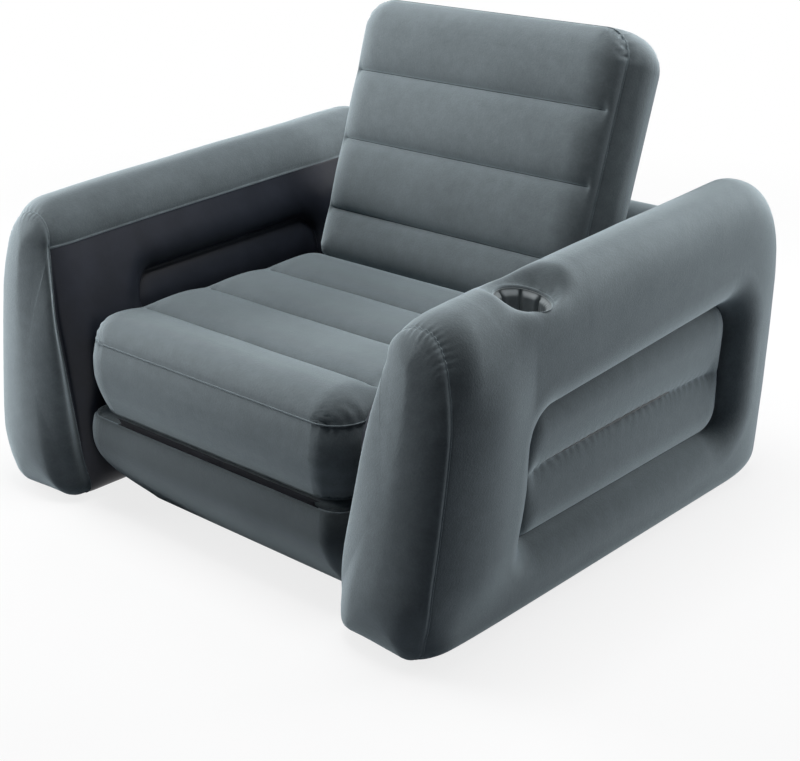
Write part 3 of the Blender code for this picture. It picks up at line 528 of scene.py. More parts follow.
def sink(panel, form, along, z):
    """Where a place on the arm's side goes: its depth and its shift along the side."""
    along += panel_lean(panel, along, z)
    distance, way = panel_distance(panel, along, z)
    depth, roll = form["depth"], form["roll"]
    if distance <= -roll:
        return 0.0, Vector((0.0, 0.0))
    if distance < 0.0:
        turn = 0.5 * math.pi * (distance + roll) / roll
        return depth * (1.0 - math.cos(turn)), way * (roll * math.sin(turn) - roll - distance)
    start, end, low, high = panel
    share = (along - start) / (end - start)
    weld_z = (low + high) / 2 + WELD_BOW * (4 * share * (1 - share) - 0.6)
    half = (high - low) / 2
    off = abs(z - weld_z)
    edge = rounding(distance, 0.055)
    channel = rounding(off + 0.002, 0.9 * half)
    ends = ease((min(along - start, end - along) - 0.006) / 0.045)
    pinch = 1.0 - (1.0 - channel) * lerp(0.20, 0.90, ends)
    wave = math.sin(along * 300 + 9 * ripple((along, z, 0), 14, form["seed"]))
    gather = 0.0010 * math.exp(-off / 0.008) * wave * ends * edge
    return depth - form["bulge"] * edge * pinch + gather, Vector((0.0, 0.0))


def front_lean(z):
    """How far the front's slope lies behind its foot."""
    rise = max(0.0, z - ARM_FRONT_LEAN_FROM) / (ARM_FRONT_HEIGHT - ARM_FRONT_LEAN_FROM)
    return ARM_FRONT_LEAN * rise


def front_shift(col):
    """How far the front seam lies beside the full section, at each place of the section."""
    x, z, zone = SECTION[col]
    at_seam = ARM_FRONT_SEAM_LEAN - 0.001 - (HALF_WIDTH - ARM_SEAM_IN - ARM_INNER)
    crown_x = HALF_WIDTH - ARM_CROWN_IN
    draw = 0.005 + 0.011 * ease((z - 0.42) / 0.11) + 0.010 * ease((0.13 - z) / 0.10)
    if zone == "crest":
        draw += 0.011 * math.sin(math.pi * (AROUND[col] - AROUND[CREST[0]]) / CREST_LENGTH)
    if zone == "inner":
        return ARM_INNER - 0.001 + ARM_FRONT_SEAM_LEAN * z / SEAM_HEIGHT - max(arm_inner_x(z), ARM_INNER)
    if zone == "crest" and x < crown_x:
        return at_seam * ((crown_x - x) / (ARM_SEAM_IN - ARM_CROWN_IN)) - draw + CREST_DRAW
    if zone == "crest":
        return -draw + CREST_DRAW * (1.0 - ease((x - crown_x) / ARM_CROWN_IN))
    if zone == "bottom":
        return -draw * (x - ARM_INNER) / (SECTION[0][0] - ARM_INNER)
    return -draw


def seam_back(col):
    """How far the front seam lies behind the front's slope: the panel wraps the inner corner."""
    x, z, zone = SECTION[col]
    if zone == "inner":
        return max(0.003, INNER_SEAM_BACK - front_lean(z)) + 0.012 * ease((0.09 - z) / 0.09)
    if zone == "bottom":
        return lerp(0.026, INNER_SEAM_BACK + 0.012,
                    (SECTION[0][0] - x) / (SECTION[0][0] - ARM_INNER - ARM_INNER_FOOT))
    if zone == "foot":
        return lerp(0.024, 0.016, z / ARM_FOOT_ROUND)
    return 0.003 + 0.013 * ease((0.15 - z) / 0.12)


def crest_pucker(col):
    """Small gathers round the top of the front seam, where the sheet is turned over it."""
    if col < CREST[0] or col > CREST[-1]:
        return 0.0
    s = AROUND[col] - AROUND[CREST[0]]
    share = s / CREST_LENGTH
    strength = ease((share - 0.22) / 0.15) * ease((0.97 - share) / 0.25)
    wave = 0.5 - 0.5 * math.cos(2 * math.pi * s / 0.0145 + 2.0 * ripple((s, 0.3, 0.0), 35.0))
    return strength * wave ** 1.6


PUCKERS = [crest_pucker(col) for col in range(COLS)]


def evened(values, reach=6):
    """Values round the section, evened out over a few places."""
    return [sum(values[(col + k) % COLS] for k in range(-reach, reach + 1)) / (2 * reach + 1)
            for col in range(COLS)]


SHIFTS = [front_shift(col) for col in range(COLS)]
BACKS = evened([seam_back(col) for col in range(COLS)])
LIPS = evened([FRONT_LIP[zone] * ease((z + 0.01) / 0.13) for _, z, zone in SECTION], 14)


def rear_draw(rear, z):
    """How much narrower the arm gets at its rear, most at the top."""
    return ARM_REAR_SIDE_DRAW * rear ** 1.3 * (1.0 + 0.40 * ease((z - 0.44) / 0.14))


def arm_place(col, along):
    """A place on the right arm's surface."""
    x, z, zone = SECTION[col]
    depth = 0.0
    if zone == "outer":
        depth, shift = sink(OUTER_PANEL, OUTER_SINK, along, z)
    elif zone == "inner":
        depth, shift = sink(INNER_PANEL, INNER_SINK, along, z)
    if depth:
        z += shift.y
        x = arm_outer_x(z) - depth if zone == "outer" else arm_inner_x(z) + depth
    scale = arm_height(FRONT + along) / MID_HEIGHT
    front = 1.0 - swelling(along, ARM_FRONT_ROUND)
    x += front * SHIFTS[col]
    z -= ARM_FRONT_DROP * front * max(0.0, z - SEAM_HEIGHT) / ARM_SEAM_DROP
    turn_in = 0.002 * (1.0 - swelling(along, 0.045))
    turn_in += 0.004 * (1.0 - rounding(LENGTH - along, 0.085))
    turn_in += 0.0024 * PUCKERS[col] * math.exp(-along / 0.009)
    x += INWARD[col].x * turn_in
    z += INWARD[col].y * turn_in
    column = math.sin(math.pi * clamp(along / 0.25)) ** 1.3
    column *= ease((z - 0.04) / 0.13) * ease((0.57 - z) / 0.15)
    x += COLUMN_BULGE * column * max(0.0, -INWARD[col].x)
    rear = 1.0 - rounding(LENGTH - along, ARM_REAR_ROUND)
    x -= rear_draw(rear, z) * (x - ARM_INNER) / ARM_WIDTH
    x -= FOOT_DRAW * clamp(1.0 - z / 0.09) ** 2 * math.exp(-along / 0.07) * (x - ARM_INNER) / ARM_WIDTH
    z = z * scale * (1.0 - ARM_REAR_TOP_DROP * rear) + ARM_REAR_FOOT_LIFT * rear
    y = FRONT + along + front_lean(z) * max(0.0, 1.0 - along / OUTER_PANEL[0])
    y += BACKS[col] * math.exp(-along / 0.090)
    if depth:
        y += shift.x
    soft = 0.0012 * ripple((x, y, z), 9.0, 4.0) if zone in ("crest", "outer") and not depth else 0.0
    return Vector((x + soft * INWARD[col].x, min(y, REAR), max(0.0, z + soft * INWARD[col].y)))


def arm_rows():
    """Distances along the arm of its rings of places, close together at both ends."""
    rows = spread([0.0, 0.024, 0.060, 0.150], [11, 10, 18])
    rows += spread([0.150, LENGTH - ARM_REAR_ROUND], [162])[1:]
    ends = [1.0 - math.cos(0.5 * math.pi * k / 26) for k in range(25, -1, -1)]
    return rows + [LENGTH - ARM_REAR_ROUND * end for end in ends]


ARM_ROWS = arm_rows()
FRONT_RINGS = [0.993, 0.984, 0.972, 0.957, 0.94, 0.92, 0.895, 0.865, 0.83, 0.79, 0.74, 0.68, 0.60, 0.50,
               0.38, 0.25, 0.12]
REAR_RINGS = [0.8, 0.6, 0.4, 0.2]


def smaller_ring(rim, share, y):
    """The rim drawn in towards its middle by a share, flat at y."""
    xs = [p.x for p in rim]
    zs = [p.z for p in rim]
    x, z = (min(xs) + max(xs)) / 2, (min(zs) + max(zs)) / 2
    return [Vector((lerp(x, p.x, share), y, lerp(z, p.z, share))) for p in rim]


def rim_distance(places, rim):
    """Distance of each place from the rim, both seen from the front."""
    start = np.array([(p.x, p.z) for p in rim])
    step = np.roll(start, -1, axis=0) - start
    away = np.array([(p.x, p.z) for p in places])[:, None] - start[None]
    share = np.clip((away * step).sum(-1) / np.maximum((step ** 2).sum(-1), 1e-12), 0.0, 1.0)
    return np.linalg.norm(away - share[..., None] * step, axis=-1).min(axis=1)


def front_ring(rim, share):
    """A ring of the front panel, which swells between its seams and a little over them."""
    ring = smaller_ring(rim, share, 0.0)
    for col, inside in enumerate(rim_distance(ring, rim)):
        back = rim[col].y - FRONT - front_lean(rim[col].z)
        y = FRONT + front_lean(ring[col].z) + back * (1.0 - rounding(inside, 0.050))
        y += 0.0018 * PUCKERS[col] * math.exp(-inside / 0.007)
        lip = LIPS[col] * inside / FRONT_LIP_AT * math.exp(1.0 - inside / FRONT_LIP_AT)
        ring[col].x -= INWARD[col].x * lip
        ring[col].z -= INWARD[col].y * lip * 0.5
        dome = FRONT_DOME * (0.40 + 0.60 * ease((ring[col].z - 0.01) / 0.12))
        ring[col].y = y - dome * rounding(inside, FRONT_SWELL)
    return ring


def arm_bmesh():
    """The right arm as one closed surface, and its rim rows for the seams."""
    body = [[arm_place(col, along) for col in range(COLS)] for along in ARM_ROWS]
    rear = [smaller_ring(body[-1], share, REAR) for share in REAR_RINGS]
    front = [front_ring(body[0], share) for share in FRONT_RINGS]
    grid = front[::-1] + body + rear
    bm = grid_bmesh(len(grid) - 1, COLS, lambda row, col: grid[row][col], ring=True)
    close_loops(bm)
    bmesh.ops.recalc_face_normals(bm, faces=bm.faces)
    row_of = bm.faces.layers.int["row"]
    col_of = bm.faces.layers.int["col"]
    first, last = len(front), len(front) + len(body) - 1
    for face in bm.faces:
        zone = SECTION[(face[col_of] + 1) % COLS][2]
        if first <= face[row_of] < last and zone in ("inner", "bottom"):
            face.material_index = 1
    return bm, body


def mirrored(bm):
    """Turns the right arm's mesh into the left arm's."""
    bmesh.ops.scale(bm, vec=(-1.0, 1.0, 1.0), verts=bm.verts)
    bmesh.ops.recalc_face_normals(bm, faces=bm.faces)
    return bm


def arm_nodes(word):
    return [f"{word}_arm_{zone}" for zone in
            ("cover", "front", "recess", "inner", "inner_recess", "bottom")]


def seam_paths(body):
    """The front seam and the top inner seam of the right arm: places and ways out of the surface."""
    outward = [Vector((-way.x, 0.0, -way.y)) for way in INWARD]
    cols = list(range(14, COLS - 3))
    front = [body[0][col] + outward[col] * 0.0002 + Vector((0.0, -0.0004, 0.0)) for col in cols]
    front_ups = [(outward[col] + Vector((0.0, -1.0, 0.0))).normalized() for col in cols]
    rows = range(0, len(body) - 12)
    top = [body[row][SEAM_COL] for row in rows]
    return (front, front_ups), (top, [outward[SEAM_COL]] * len(top))


def panel_path(panel):
    """The seam round a sunk panel: places and ways out of the surface."""
    start, end, low, high = panel
    outer = panel is OUTER_PANEL
    middle = Vector(((start + end) / 2, (low + high) / 2))
    half = Vector(((end - start) / 2 - PANEL_CORNER, (high - low) / 2 - PANEL_CORNER))
    corners = [(1, 1), (-1, 1), (-1, -1), (1, -1)]
    flat = []
    for k, (sx, sy) in enumerate(corners):
        centre = middle + Vector((sx * half.x, sy * half.y))
        for j in range(10):
            turn = 0.5 * math.pi * (k + j / 9)
            flat.append(centre + PANEL_CORNER * Vector((math.cos(turn), math.sin(turn))))
    for place in flat:
        above = place.y - middle.y
        place.y = middle.y + above * panel_flare(panel, place.x, above)
        place.x -= panel_lean(panel, place.x, place.y)
    full = []
    for k, place in enumerate(flat):
        after = flat[(k + 1) % len(flat)]
        steps = max(1, round((after - place).length / 0.009))
        full += [place.lerp(after, j / steps) for j in range(steps)]
    places = []
    for along, z in full:
        x = arm_outer_x(z) - OUTER_SINK["depth"] if outer else arm_inner_x(z) + INNER_SINK["depth"]
        scale = arm_height(FRONT + along) / MID_HEIGHT
        places.append(Vector((x, FRONT + along, z * scale)))
    way = Vector((1.0 if outer else -1.0, 0.0, 0.0))
    return places, [way] * len(places)


def cup_level(x, y):
    """Height of the plane that the cup holder's rim lies in."""
    return CUP.z + CUP_SLOPE[0] * (x - CUP.x) + CUP_SLOPE[1] * (y - CUP.y)


def level_for_cup(bm):
    """Draws the top of the arm to the plane of the rim, with a full lip round it."""
    reach = CUP_LEVEL_REACH
    bm.normal_update()
    for vert in bm.verts:
        radius = (vert.co.xy - CUP.xy).length
        if radius > 0.122 or vert.co.z < 0.50:
            continue
        fade = 0.030 + 0.020 * clamp((vert.co.x - CUP.x) / 0.05)
        weight = (1.0 - ease((radius - reach) / fade)) * clamp(1.6 * vert.normal.z)
        lip = 0.0038 * ease((radius - reach) / 0.010) * (1.0 - ease((radius - reach - 0.010) / 0.030))
        level = cup_level(vert.co.x, vert.co.y)
        vert.co.z = lerp(vert.co.z, level, weight) + lip * clamp(2.0 * vert.normal.z)
    near = [vert for vert in bm.verts
            if vert.co.z > 0.50 and reach + 0.002 < (vert.co.xy - CUP.xy).length < 0.130]
    for _ in range(14):
        bmesh.ops.smooth_vert(bm, verts=near, factor=0.5,
                              use_axis_x=True, use_axis_y=True, use_axis_z=True)


def cut_cup_hole(arm):
    """Opens the cup holder's hole in the arm, and keeps the cut mesh."""
    reach = CUP_RADIUS + CUP_LIP
    bm = bmesh.new()
    bmesh.ops.create_cone(bm, cap_ends=True, segments=144, radius1=reach, radius2=reach, depth=0.16,
                          matrix=Matrix.Translation(CUP))
    mesh = bpy.data.meshes.new("cup_cutter")
    bm.to_mesh(mesh)
    bm.free()
    cutter = bpy.data.objects.new("cup_cutter", mesh)
    bpy.context.scene.collection.objects.link(cutter)
    cut = arm.modifiers.new("cup_hole", "BOOLEAN")
    cut.operation = "DIFFERENCE"
    cut.solver = "EXACT"
    cut.object = cutter
    depsgraph = bpy.context.evaluated_depsgraph_get()
    whole = bpy.data.meshes.new_from_object(arm.evaluated_get(depsgraph), depsgraph=depsgraph)
    arm.modifiers.clear()
    bm = bmesh.new()
    bm.from_mesh(whole)
    inside = []
    for face in bm.faces:
        middle = face.calc_center_median()
        radius = (middle.xy - CUP.xy).length
        if middle.z > 0.45 and (radius < reach - 0.0005 or
                                radius < reach + 0.0005 and abs(face.normal.z) < 0.2):
            inside.append(face)
    bmesh.ops.delete(bm, geom=inside, context="FACES")
    bm.to_mesh(arm.data)
    bm.free()
    bpy.data.objects.remove(cutter)
    arm.data.shade_smooth()


def cup_folds(turn):
    """How deep the liner is creased: a few narrow folds, and fine pleats on one side."""
    deep = 0.0
    for place, width, depth in CUP_FOLDS:
        off = (math.degrees(turn) - place + 180) % 360 - 180
        deep += depth * math.exp(-(off / width) ** 2)
    off = (math.degrees(turn) - CUP_PLEATS_AT + 180) % 360 - 180
    fine = math.exp(-(off / 20) ** 2) * (0.5 - 0.5 * math.cos(math.radians(off) * 42))
    return min(1.0, deep + 0.22 * fine)


def make_cup():
    """The rolled edge of the hole, its welded rim, and the gathered liner that hangs in it."""
    cols = 216
    turns = [2 * math.pi * col / cols for col in range(cols)]
    steps = 14

    def around(turn, radius, drop):
        x = CUP.x + radius * math.cos(turn)
        y = CUP.y + radius * math.sin(turn)
        return Vector((x, y, cup_level(x, y) - drop))

    def lip_place(row, col):
        roll = 0.5 * math.pi * row / steps * 1.08
        radius = CUP_RADIUS + CUP_LIP * 1.02 - CUP_LIP * math.sin(roll)
        return around(turns[col], radius, 0.0050 * (1 - math.cos(roll)))

    lip = grid_bmesh(steps, cols, lip_place, ring=True)
    bmesh.ops.recalc_face_normals(lip, faces=lip.faces)
    if sum(face.normal.z for face in lip.faces) < 0:
        bmesh.ops.reverse_faces(lip, faces=lip.faces)
    piece(lip, "cup_lip", "frame", [FLOCK])
    path = [around(turn, CUP_RADIUS, 0.0050) for turn in turns[::3]]
    bead = tube_bmesh(path, [Vector((0.0, 0.0, 1.0))] * len(path), 0.0010, 0.0008, closed=True)
    piece(bead, "cup_rim", "frame", [CUP_VINYL])

    walls, base = 40, 9

    def liner_place(row, col):
        fold = cup_folds(turns[col])
        if row <= walls:
            down = row / walls
            radius = lerp(CUP_RADIUS - 0.0002, CUP_FOOT_RADIUS, down)
            radius -= 0.0085 * (1.0 - 1.25 * fold) * ease((down + 0.01) / 0.14) * (1.0 - 0.4 * down)
            return around(turns[col], radius, 0.0052 + (CUP_DEPTH - 0.0077) * down)
        share = (row - walls) / base
        radius = (CUP_FOOT_RADIUS - 0.0051 * (1.0 - 1.25 * fold) * (1.0 - share)) * (1.0 - 0.92 * share)
        return around(turns[col], radius, CUP_DEPTH - 0.0025 + 0.003 * math.sin(math.pi * share))

    liner = grid_bmesh(walls + base, cols, liner_place, ring=True)
    low = [edge for edge in liner.edges if edge.is_boundary and edge.verts[0].co.z < CUP.z - 0.05]
    bmesh.ops.contextual_create(liner, geom=low)
    bmesh.ops.recalc_face_normals(liner, faces=liner.faces)
    foot = CUP.z - CUP_DEPTH + 0.004
    if sum(face.normal.z for face in liner.faces if face.calc_center_median().z < foot) < 0:
        bmesh.ops.reverse_faces(liner, faces=liner.faces)
    cup = piece(liner, "cup_liner", "frame", [CUP_VINYL])
    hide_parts("cup_holder")


def make_arms():
    """Both arms with their seams, the left one a mirror of the right, and the cup holder."""
    bm, body = arm_bmesh()
    front, top = seam_paths(body)
    seams = (("front_seam", front, 0.0010, 0.0008, False, SEAM_FLOCK, "cover"),
             ("top_seam", top, 0.0030, 0.0008, False, SEAM_FLOCK, "cover"),
             ("outer_panel_seam", panel_path(OUTER_PANEL), 0.0010, 0.0010, True, SEAM_FLOCK, "recess"),
             ("inner_panel_seam", panel_path(INNER_PANEL), 0.0010, 0.0010, True, VINYL, "inner_recess"))
    for word, side in (("right", 1), ("left", -1)):
        shape = bm.copy() if side > 0 else mirrored(bm.copy())
        if side > 0:
            level_for_cup(shape)
        arm = piece(shape, f"{word}_arm", "frame", [FLOCK, VINYL])
        if side > 0:
            cut_cup_hole(arm)
        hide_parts(*arm_nodes(word))
        for name, (path, ups), half_width, half_height, closed, finish, zone in seams:
            bead = tube_bmesh(path, ups, half_width, half_height, closed=closed)
            piece(bead if side > 0 else mirrored(bead), f"{word}_arm_{name}", "frame", [finish])
    bm.free()
    make_cup()


# Seat, backrest and base


class Cushion:
    """A ribbed air cushion: x across, v along it and w through it; seams at the low and high w."""

    def __init__(self, half_width, length, welds, low, high, at, weld_end=WELD_END, inset=(0.0, 0.0),
                 low_corner=CORNER):
        self.half_width = half_width
        self.length = length
        self.welds = welds
        self.stops = [0.0, *welds, length]
        self.low = low
        self.high = high
        self.at = at
        self.weld_end = weld_end
        self.inset = inset
        self.low_corner = low_corner
        self.xs = self.across()
        self.vs = self.along()

    def across(self):
        """Places of the grid's columns, close together at the rounded corners."""
        corner = [CORNER * (1 - math.cos(0.5 * math.pi * k / 13)) for k in range(13)]
        side = [-self.half_width + step for step in corner]
        side += spread([-self.half_width + CORNER, 0.0], [40])
        return side + [-x for x in side[-2::-1]]

    def along(self):
        """Places of the grid's rows, close together at the corners and at the welds."""
        ends = [CORNER * (1 - math.cos(0.5 * math.pi * k / 13)) for k in range(14)]
        values = set(ends) | {self.length - end for end in ends}
        steps = (0.0, 0.0012, 0.003, 0.006, 0.010, 0.015, 0.021, 0.028, 0.036, 0.045, 0.055, 0.065)
        for start, end in zip(self.stops, self.stops[1:]):
            near = [start + step for step in steps] + [end - step for step in steps]
            values |= {v for v in near + [(start + end) / 2]
                       if start <= v <= end and CORNER < v < self.length - CORNER}
        values = sorted(values)
        kept = [values[0]]
        for value in values[1:]:
            if value - kept[-1] > 0.0004:
                kept.append(value)
        return kept

    def corner(self, v):
        return self.low_corner if v < self.length / 2 else CORNER

    def half_at(self, v):
        """Half the width of the outline at v."""
        end = min(v, self.length - v)
        corner = self.corner(v)
        return self.half_width - corner * (1.0 - rounding(end, corner))

    def flat(self, row, col):
        v = self.vs[row]
        return self.xs[col] * self.half_at(v) / self.half_width, v

    def inside(self, x, v):
        """Distance inside the rounded outline."""
        side = self.half_width - abs(x)
        end = min(v, self.length - v)
        corner = self.corner(v)
        if side < corner and end < corner:
            return max(0.0, corner - math.hypot(corner - side, corner - end))
        return min(side, end)

    def cornering(self, x, v):
        """1 in the middle of a rounded corner, 0 away from it, and the turn round the corner."""
        corner = self.corner(v)
        side = corner - (self.half_width - abs(x))
        end = corner - min(v, self.length - v)
        if side <= 0 or end <= 0:
            return 0.0, 0.0
        turn = math.atan2(side, end)
        return ease(turn / 0.22) * ease((0.5 * math.pi - turn) / 0.22), turn * corner

    def pucker(self, x, v):
        """Small gathers at the corners of a seam, which fade away from it."""
        strength, s = self.cornering(x, v)
        if not strength:
            return 0.0
        wave = 0.5 - 0.5 * math.cos(2 * math.pi * s / 0.0125 + 1.7 * ripple((x, v, s), 28.0))
        return strength * wave ** 1.5

    def valley(self, x, v):
        """0 on the crown of a rib and 1 on the weld between two."""
        nearest = min(self.welds, key=lambda weld: abs(weld - v))
        k = self.stops.index(nearest)
        width = self.stops[k + 1] - nearest if v > nearest else nearest - self.stops[k - 1]
        away = min(1.0, abs(v - nearest) / (width / 2))
        side = self.half_width - abs(x)
        weld = lerp(0.40, 1.0, ease((side - 0.5 * self.weld_end) / (0.9 * self.weld_end)))
        soft = lerp(0.16, 0.0, ease((side - self.weld_end + 0.012) / 0.020))
        away = min(1.0, math.hypot(away, soft) if soft else away)
        return (1.0 - math.sqrt(1.0 - (1.0 - away) ** 2)) * weld

    def rise(self, x, v, crown, depth, seed):
        """Height of a sheet over its seam: crowned ribs, valleys and gathers."""
        d = self.inside(x, v)
        edge = rounding(d, EDGE_ROUND)
        sag = 0.0016 * ripple((x, v, seed), 7.0)
        dent = 0.0048 * self.pucker(x, v) * math.exp(-d / 0.012)
        weld = self.valley(x, v)
        gather = 0.0007 * weld ** 6 * math.sin(x * 520 + 4 * ripple((x, v, 1), 21, seed))
        return edge * (crown - depth * weld + sag * (1 - weld)) + gather * edge - dent * (1 - 0.4 * edge)

    def rim(self):
        """Places round the outline, in the order of the sheets' edges."""
        last_row = len(self.vs) - 1
        last_col = len(self.xs) - 1
        cells = [(0, col) for col in range(last_col)]
        cells += [(row, last_col) for row in range(last_row)]
        cells += [(last_row, col) for col in range(last_col, 0, -1)]
        cells += [(row, 0) for row in range(last_row, 0, -1)]
        return [self.flat(row, col) for row, col in cells]

    def outward(self, x, v):
        """The way out of the outline at a place on it."""
        side = self.half_width - abs(x)
        end = min(v, self.length - v)
        corner = self.corner(v)
        from_side = max(0.0, corner - side)
        from_end = max(0.0, corner - end)
        way = Vector((math.copysign(from_side, x), math.copysign(from_end, v - self.length / 2)))
        return way.normalized() if way.length else way

    def bulged(self, x, v, out):
        way = self.outward(x, v) * out
        return x + way.x, v + way.y

    def drawn(self, x, v, sides, ends):
        """The whole outline drawn in at its sides and its ends."""
        middle = self.length / 2
        return x * (1.0 - sides / self.half_width), middle + (v - middle) * (1.0 - ends / middle)

    def sheet(self, top, crown, depth, seed):
        """The top or the bottom sheet."""

        def place(row, col):
            x, v = self.flat(row, col)
            rise = self.rise(x, v, crown, depth, seed)
            fold = 0.0050 * self.pucker(x, v) * math.exp(-self.inside(x, v) / 0.016)
            way = self.outward(x, v) * fold if self.inside(x, v) > 1e-6 else Vector((0.0, 0.0))
            if not top:
                x, v = self.drawn(x, v, *self.inset)
            return self.at @ Vector((x - way.x, v - way.y, self.high + rise if top else self.low - rise))

        return grid_bmesh(len(self.vs) - 1, len(self.xs) - 1, place)

    def band(self, steps, swell, seed):
        """The side sheet, fullest between its seams and gathered at the corners of both."""
        rim = self.rim()
        height = self.high - self.low

        def place(row, col):
            x, v = rim[col]
            share = row / steps
            t = lerp(share, 0.5 - 0.5 * math.cos(math.pi * share), 0.6)
            way = self.outward(x, v)
            out = lerp(swell[1], swell[0], way.x ** 2) * math.sin(math.pi * t) ** 0.8
            if 0 < row < steps:
                near = height * min(t, 1 - t)
                out -= 0.0062 * self.pucker(x, v) * math.exp(-near / 0.014)
                out += 0.0012 * ripple((x, v, t), 8.0, seed) * math.sin(math.pi * t)
            x, v = self.drawn(x, v, *(inset * (1 - t) ** 2 for inset in self.inset))
            return self.at @ Vector((x + way.x * out, v + way.y * out, lerp(self.low, self.high, t)))

        return grid_bmesh(steps, len(rim), place, ring=True)

    def closed(self, sheets):
        """Joins the sheets of the cushion into one closed surface."""
        whole = bmesh.new()
        for sheet in sheets:
            mesh = bpy.data.meshes.new("sheet")
            sheet.to_mesh(mesh)
            sheet.free()
            whole.from_mesh(mesh)
            bpy.data.meshes.remove(mesh)
        bmesh.ops.remove_doubles(whole, verts=whole.verts, dist=1e-5)
        bmesh.ops.recalc_face_normals(whole, faces=whole.faces)
        return whole

    def bead(self, high, radius, lift=0.0003):
        """The welded edge that shows as a thin line round a seam."""
        rim = self.rim()
        w = self.high if high else self.low
        path, ups = [], []
        for x, v in rim:
            way = self.outward(x, v)
            if not high:
                x, v = self.drawn(x, v, *self.inset)
            place = Vector((x + way.x * lift, v + way.y * lift, w))
            path.append(self.at @ place)
            out = Vector((way.x, way.y, 0.8 if high else -0.8)).normalized()
            ups.append((self.at.to_3x3() @ out).normalized())
        return tube_bmesh(path, ups, radius, radius, 6, closed=True)


def padded_piece(bm, name, body, finishes, nodes):
    """A piece full of air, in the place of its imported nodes."""
    cushion = piece(bm, name, body, finishes)
    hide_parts(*nodes)


def make_seat():
    at = Matrix.Translation((0.0, FRONT + BASE_FRONT, 0.0))
    seat = Cushion(SEAT_HALF_WIDTH, SEAT_LENGTH, SEAT_WELDS, SEAT_LOW, SEAT_LOW + SEAT_BAND, at, 0.034,
                   (0.012, 0.012))
    shape = seat.closed([seat.sheet(True, SEAT_CROWN, 0.027, 1.0),
                         seat.sheet(False, 0.0058, 0.0055, 2.0), seat.band(26, (BULGE, BULGE), 3.0)])
    padded_piece(shape, "seat_cushion", "seat", [FLOCK],
                 ("seat_top", "seat_bottom", "seat_band"))
    piece(seat.bead(True, 0.0013), "seat_top_seam", "seat", [SEAM_FLOCK])
    piece(seat.bead(False, 0.0012), "seat_bottom_seam", "seat", [SEAM_FLOCK])


def back_hinge():
    """A place on the axis of the fold between seat and backrest."""
    return Vector((0.0, FRONT + BASE_FRONT + SEAT_LENGTH + HINGE_REACH, SEAT_LOW + SEAT_BAND))


def make_backrest():
    lean = Matrix.Rotation(-BACK_LEAN, 4, "X") @ Matrix.Rotation(math.radians(90), 4, "X")
    at = Matrix.Translation(back_hinge()) @ lean @ Matrix.Translation((0.0, HINGE_REACH, 0.0))
    back = Cushion(BACK_HALF_WIDTH, BACK_LENGTH, BACK_WELDS, -BACK_BAND, 0.0, at, 0.011,
                   (-0.009, 0.011), low_corner=0.032)
    shape = back.closed([back.sheet(True, BACK_CROWN, 0.024, 5.0),
                         back.sheet(False, BACK_REAR_CROWN, 0.016, 6.0),
                         back.band(22, (0.024, 0.006), 7.0)])
    padded_piece(shape, "backrest_cushion", "backrest", [FLOCK],
                 ("backrest_front", "backrest_rear", "backrest_band"))
    piece(back.bead(True, 0.0013), "backrest_front_seam", "backrest", [SEAM_FLOCK])
    piece(back.bead(False, 0.0012), "backrest_rear_seam", "backrest", [SEAM_FLOCK])


def make_base():
    length = LENGTH - BASE_FRONT - BASE_REAR_MARGIN
    at = Matrix.Translation((0.0, FRONT + BASE_FRONT, 0.0))
    welds = [length * k / 6 for k in range(1, 6)]
    base = Cushion(BASE_HALF_WIDTH, length, welds, 0.0, BASE_SEAM, at, low_corner=0.044)
    rim = base.rim()
    steps, swell_row = 26, 15

    def foot(row, col):
        x, v = base.flat(row, col)
        x, v = base.drawn(x, v, BASE_SIDE_ROUND, BASE_FOOT_ROUND)
        return Vector((x, v + FRONT + BASE_FRONT, 0.0))

    def side(row, col):
        """From the foot's seam round under the swell and up to the top seam."""
        x, v = rim[col]
        turn = math.pi * 0.5 * min(1.0, row / swell_row)
        if row <= swell_row:
            out = lerp(-BASE_FOOT_ROUND, BULGE, math.sin(turn) ** 1.3)
            z = BASE_WIDEST * (1.0 - math.cos(turn)) ** 0.6
        else:
            t = (row - swell_row) / (steps - swell_row)
            out = BULGE * math.cos(0.5 * math.pi * t) ** 0.8
            z = lerp(BASE_WIDEST, BASE_SEAM, math.sin(0.5 * math.pi * t) ** 0.9)
        if 0 < row < steps:
            out += 0.0014 * ripple((x, v, z), 9.0, 11.0)
            out -= 0.0024 * base.pucker(x, v) * math.exp(-(BASE_SEAM - z) / 0.014)
        sides = -out * BASE_SIDE_ROUND / BASE_FOOT_ROUND
        x, v = base.bulged(x, v, out) if out > 0.0 else base.drawn(x, v, sides, -out)
        return Vector((x, v + FRONT + BASE_FRONT, z))

    shape = base.closed([base.sheet(True, BASE_CROWN, 0.0060, 9.0),
                         grid_bmesh(len(base.vs) - 1, len(base.xs) - 1, foot),
                         grid_bmesh(steps, len(rim), side, ring=True)])
    for face in shape.faces:
        if face.calc_center_median().z < 1e-5:
            face.material_index = 1
    # The base's top and sides wear the flock darkened as painted shade; its bottom wears the dark vinyl.
    padded_piece(shape, "base_mattress", "frame", [BASE_PAINTED_SHADE_FLOCK, VINYL],
                 ("base_top", "base_bottom", "base_band"))
    piece(base.bead(True, 0.0013), "base_top_seam", "frame", [SEAM_FLOCK])


# Folds


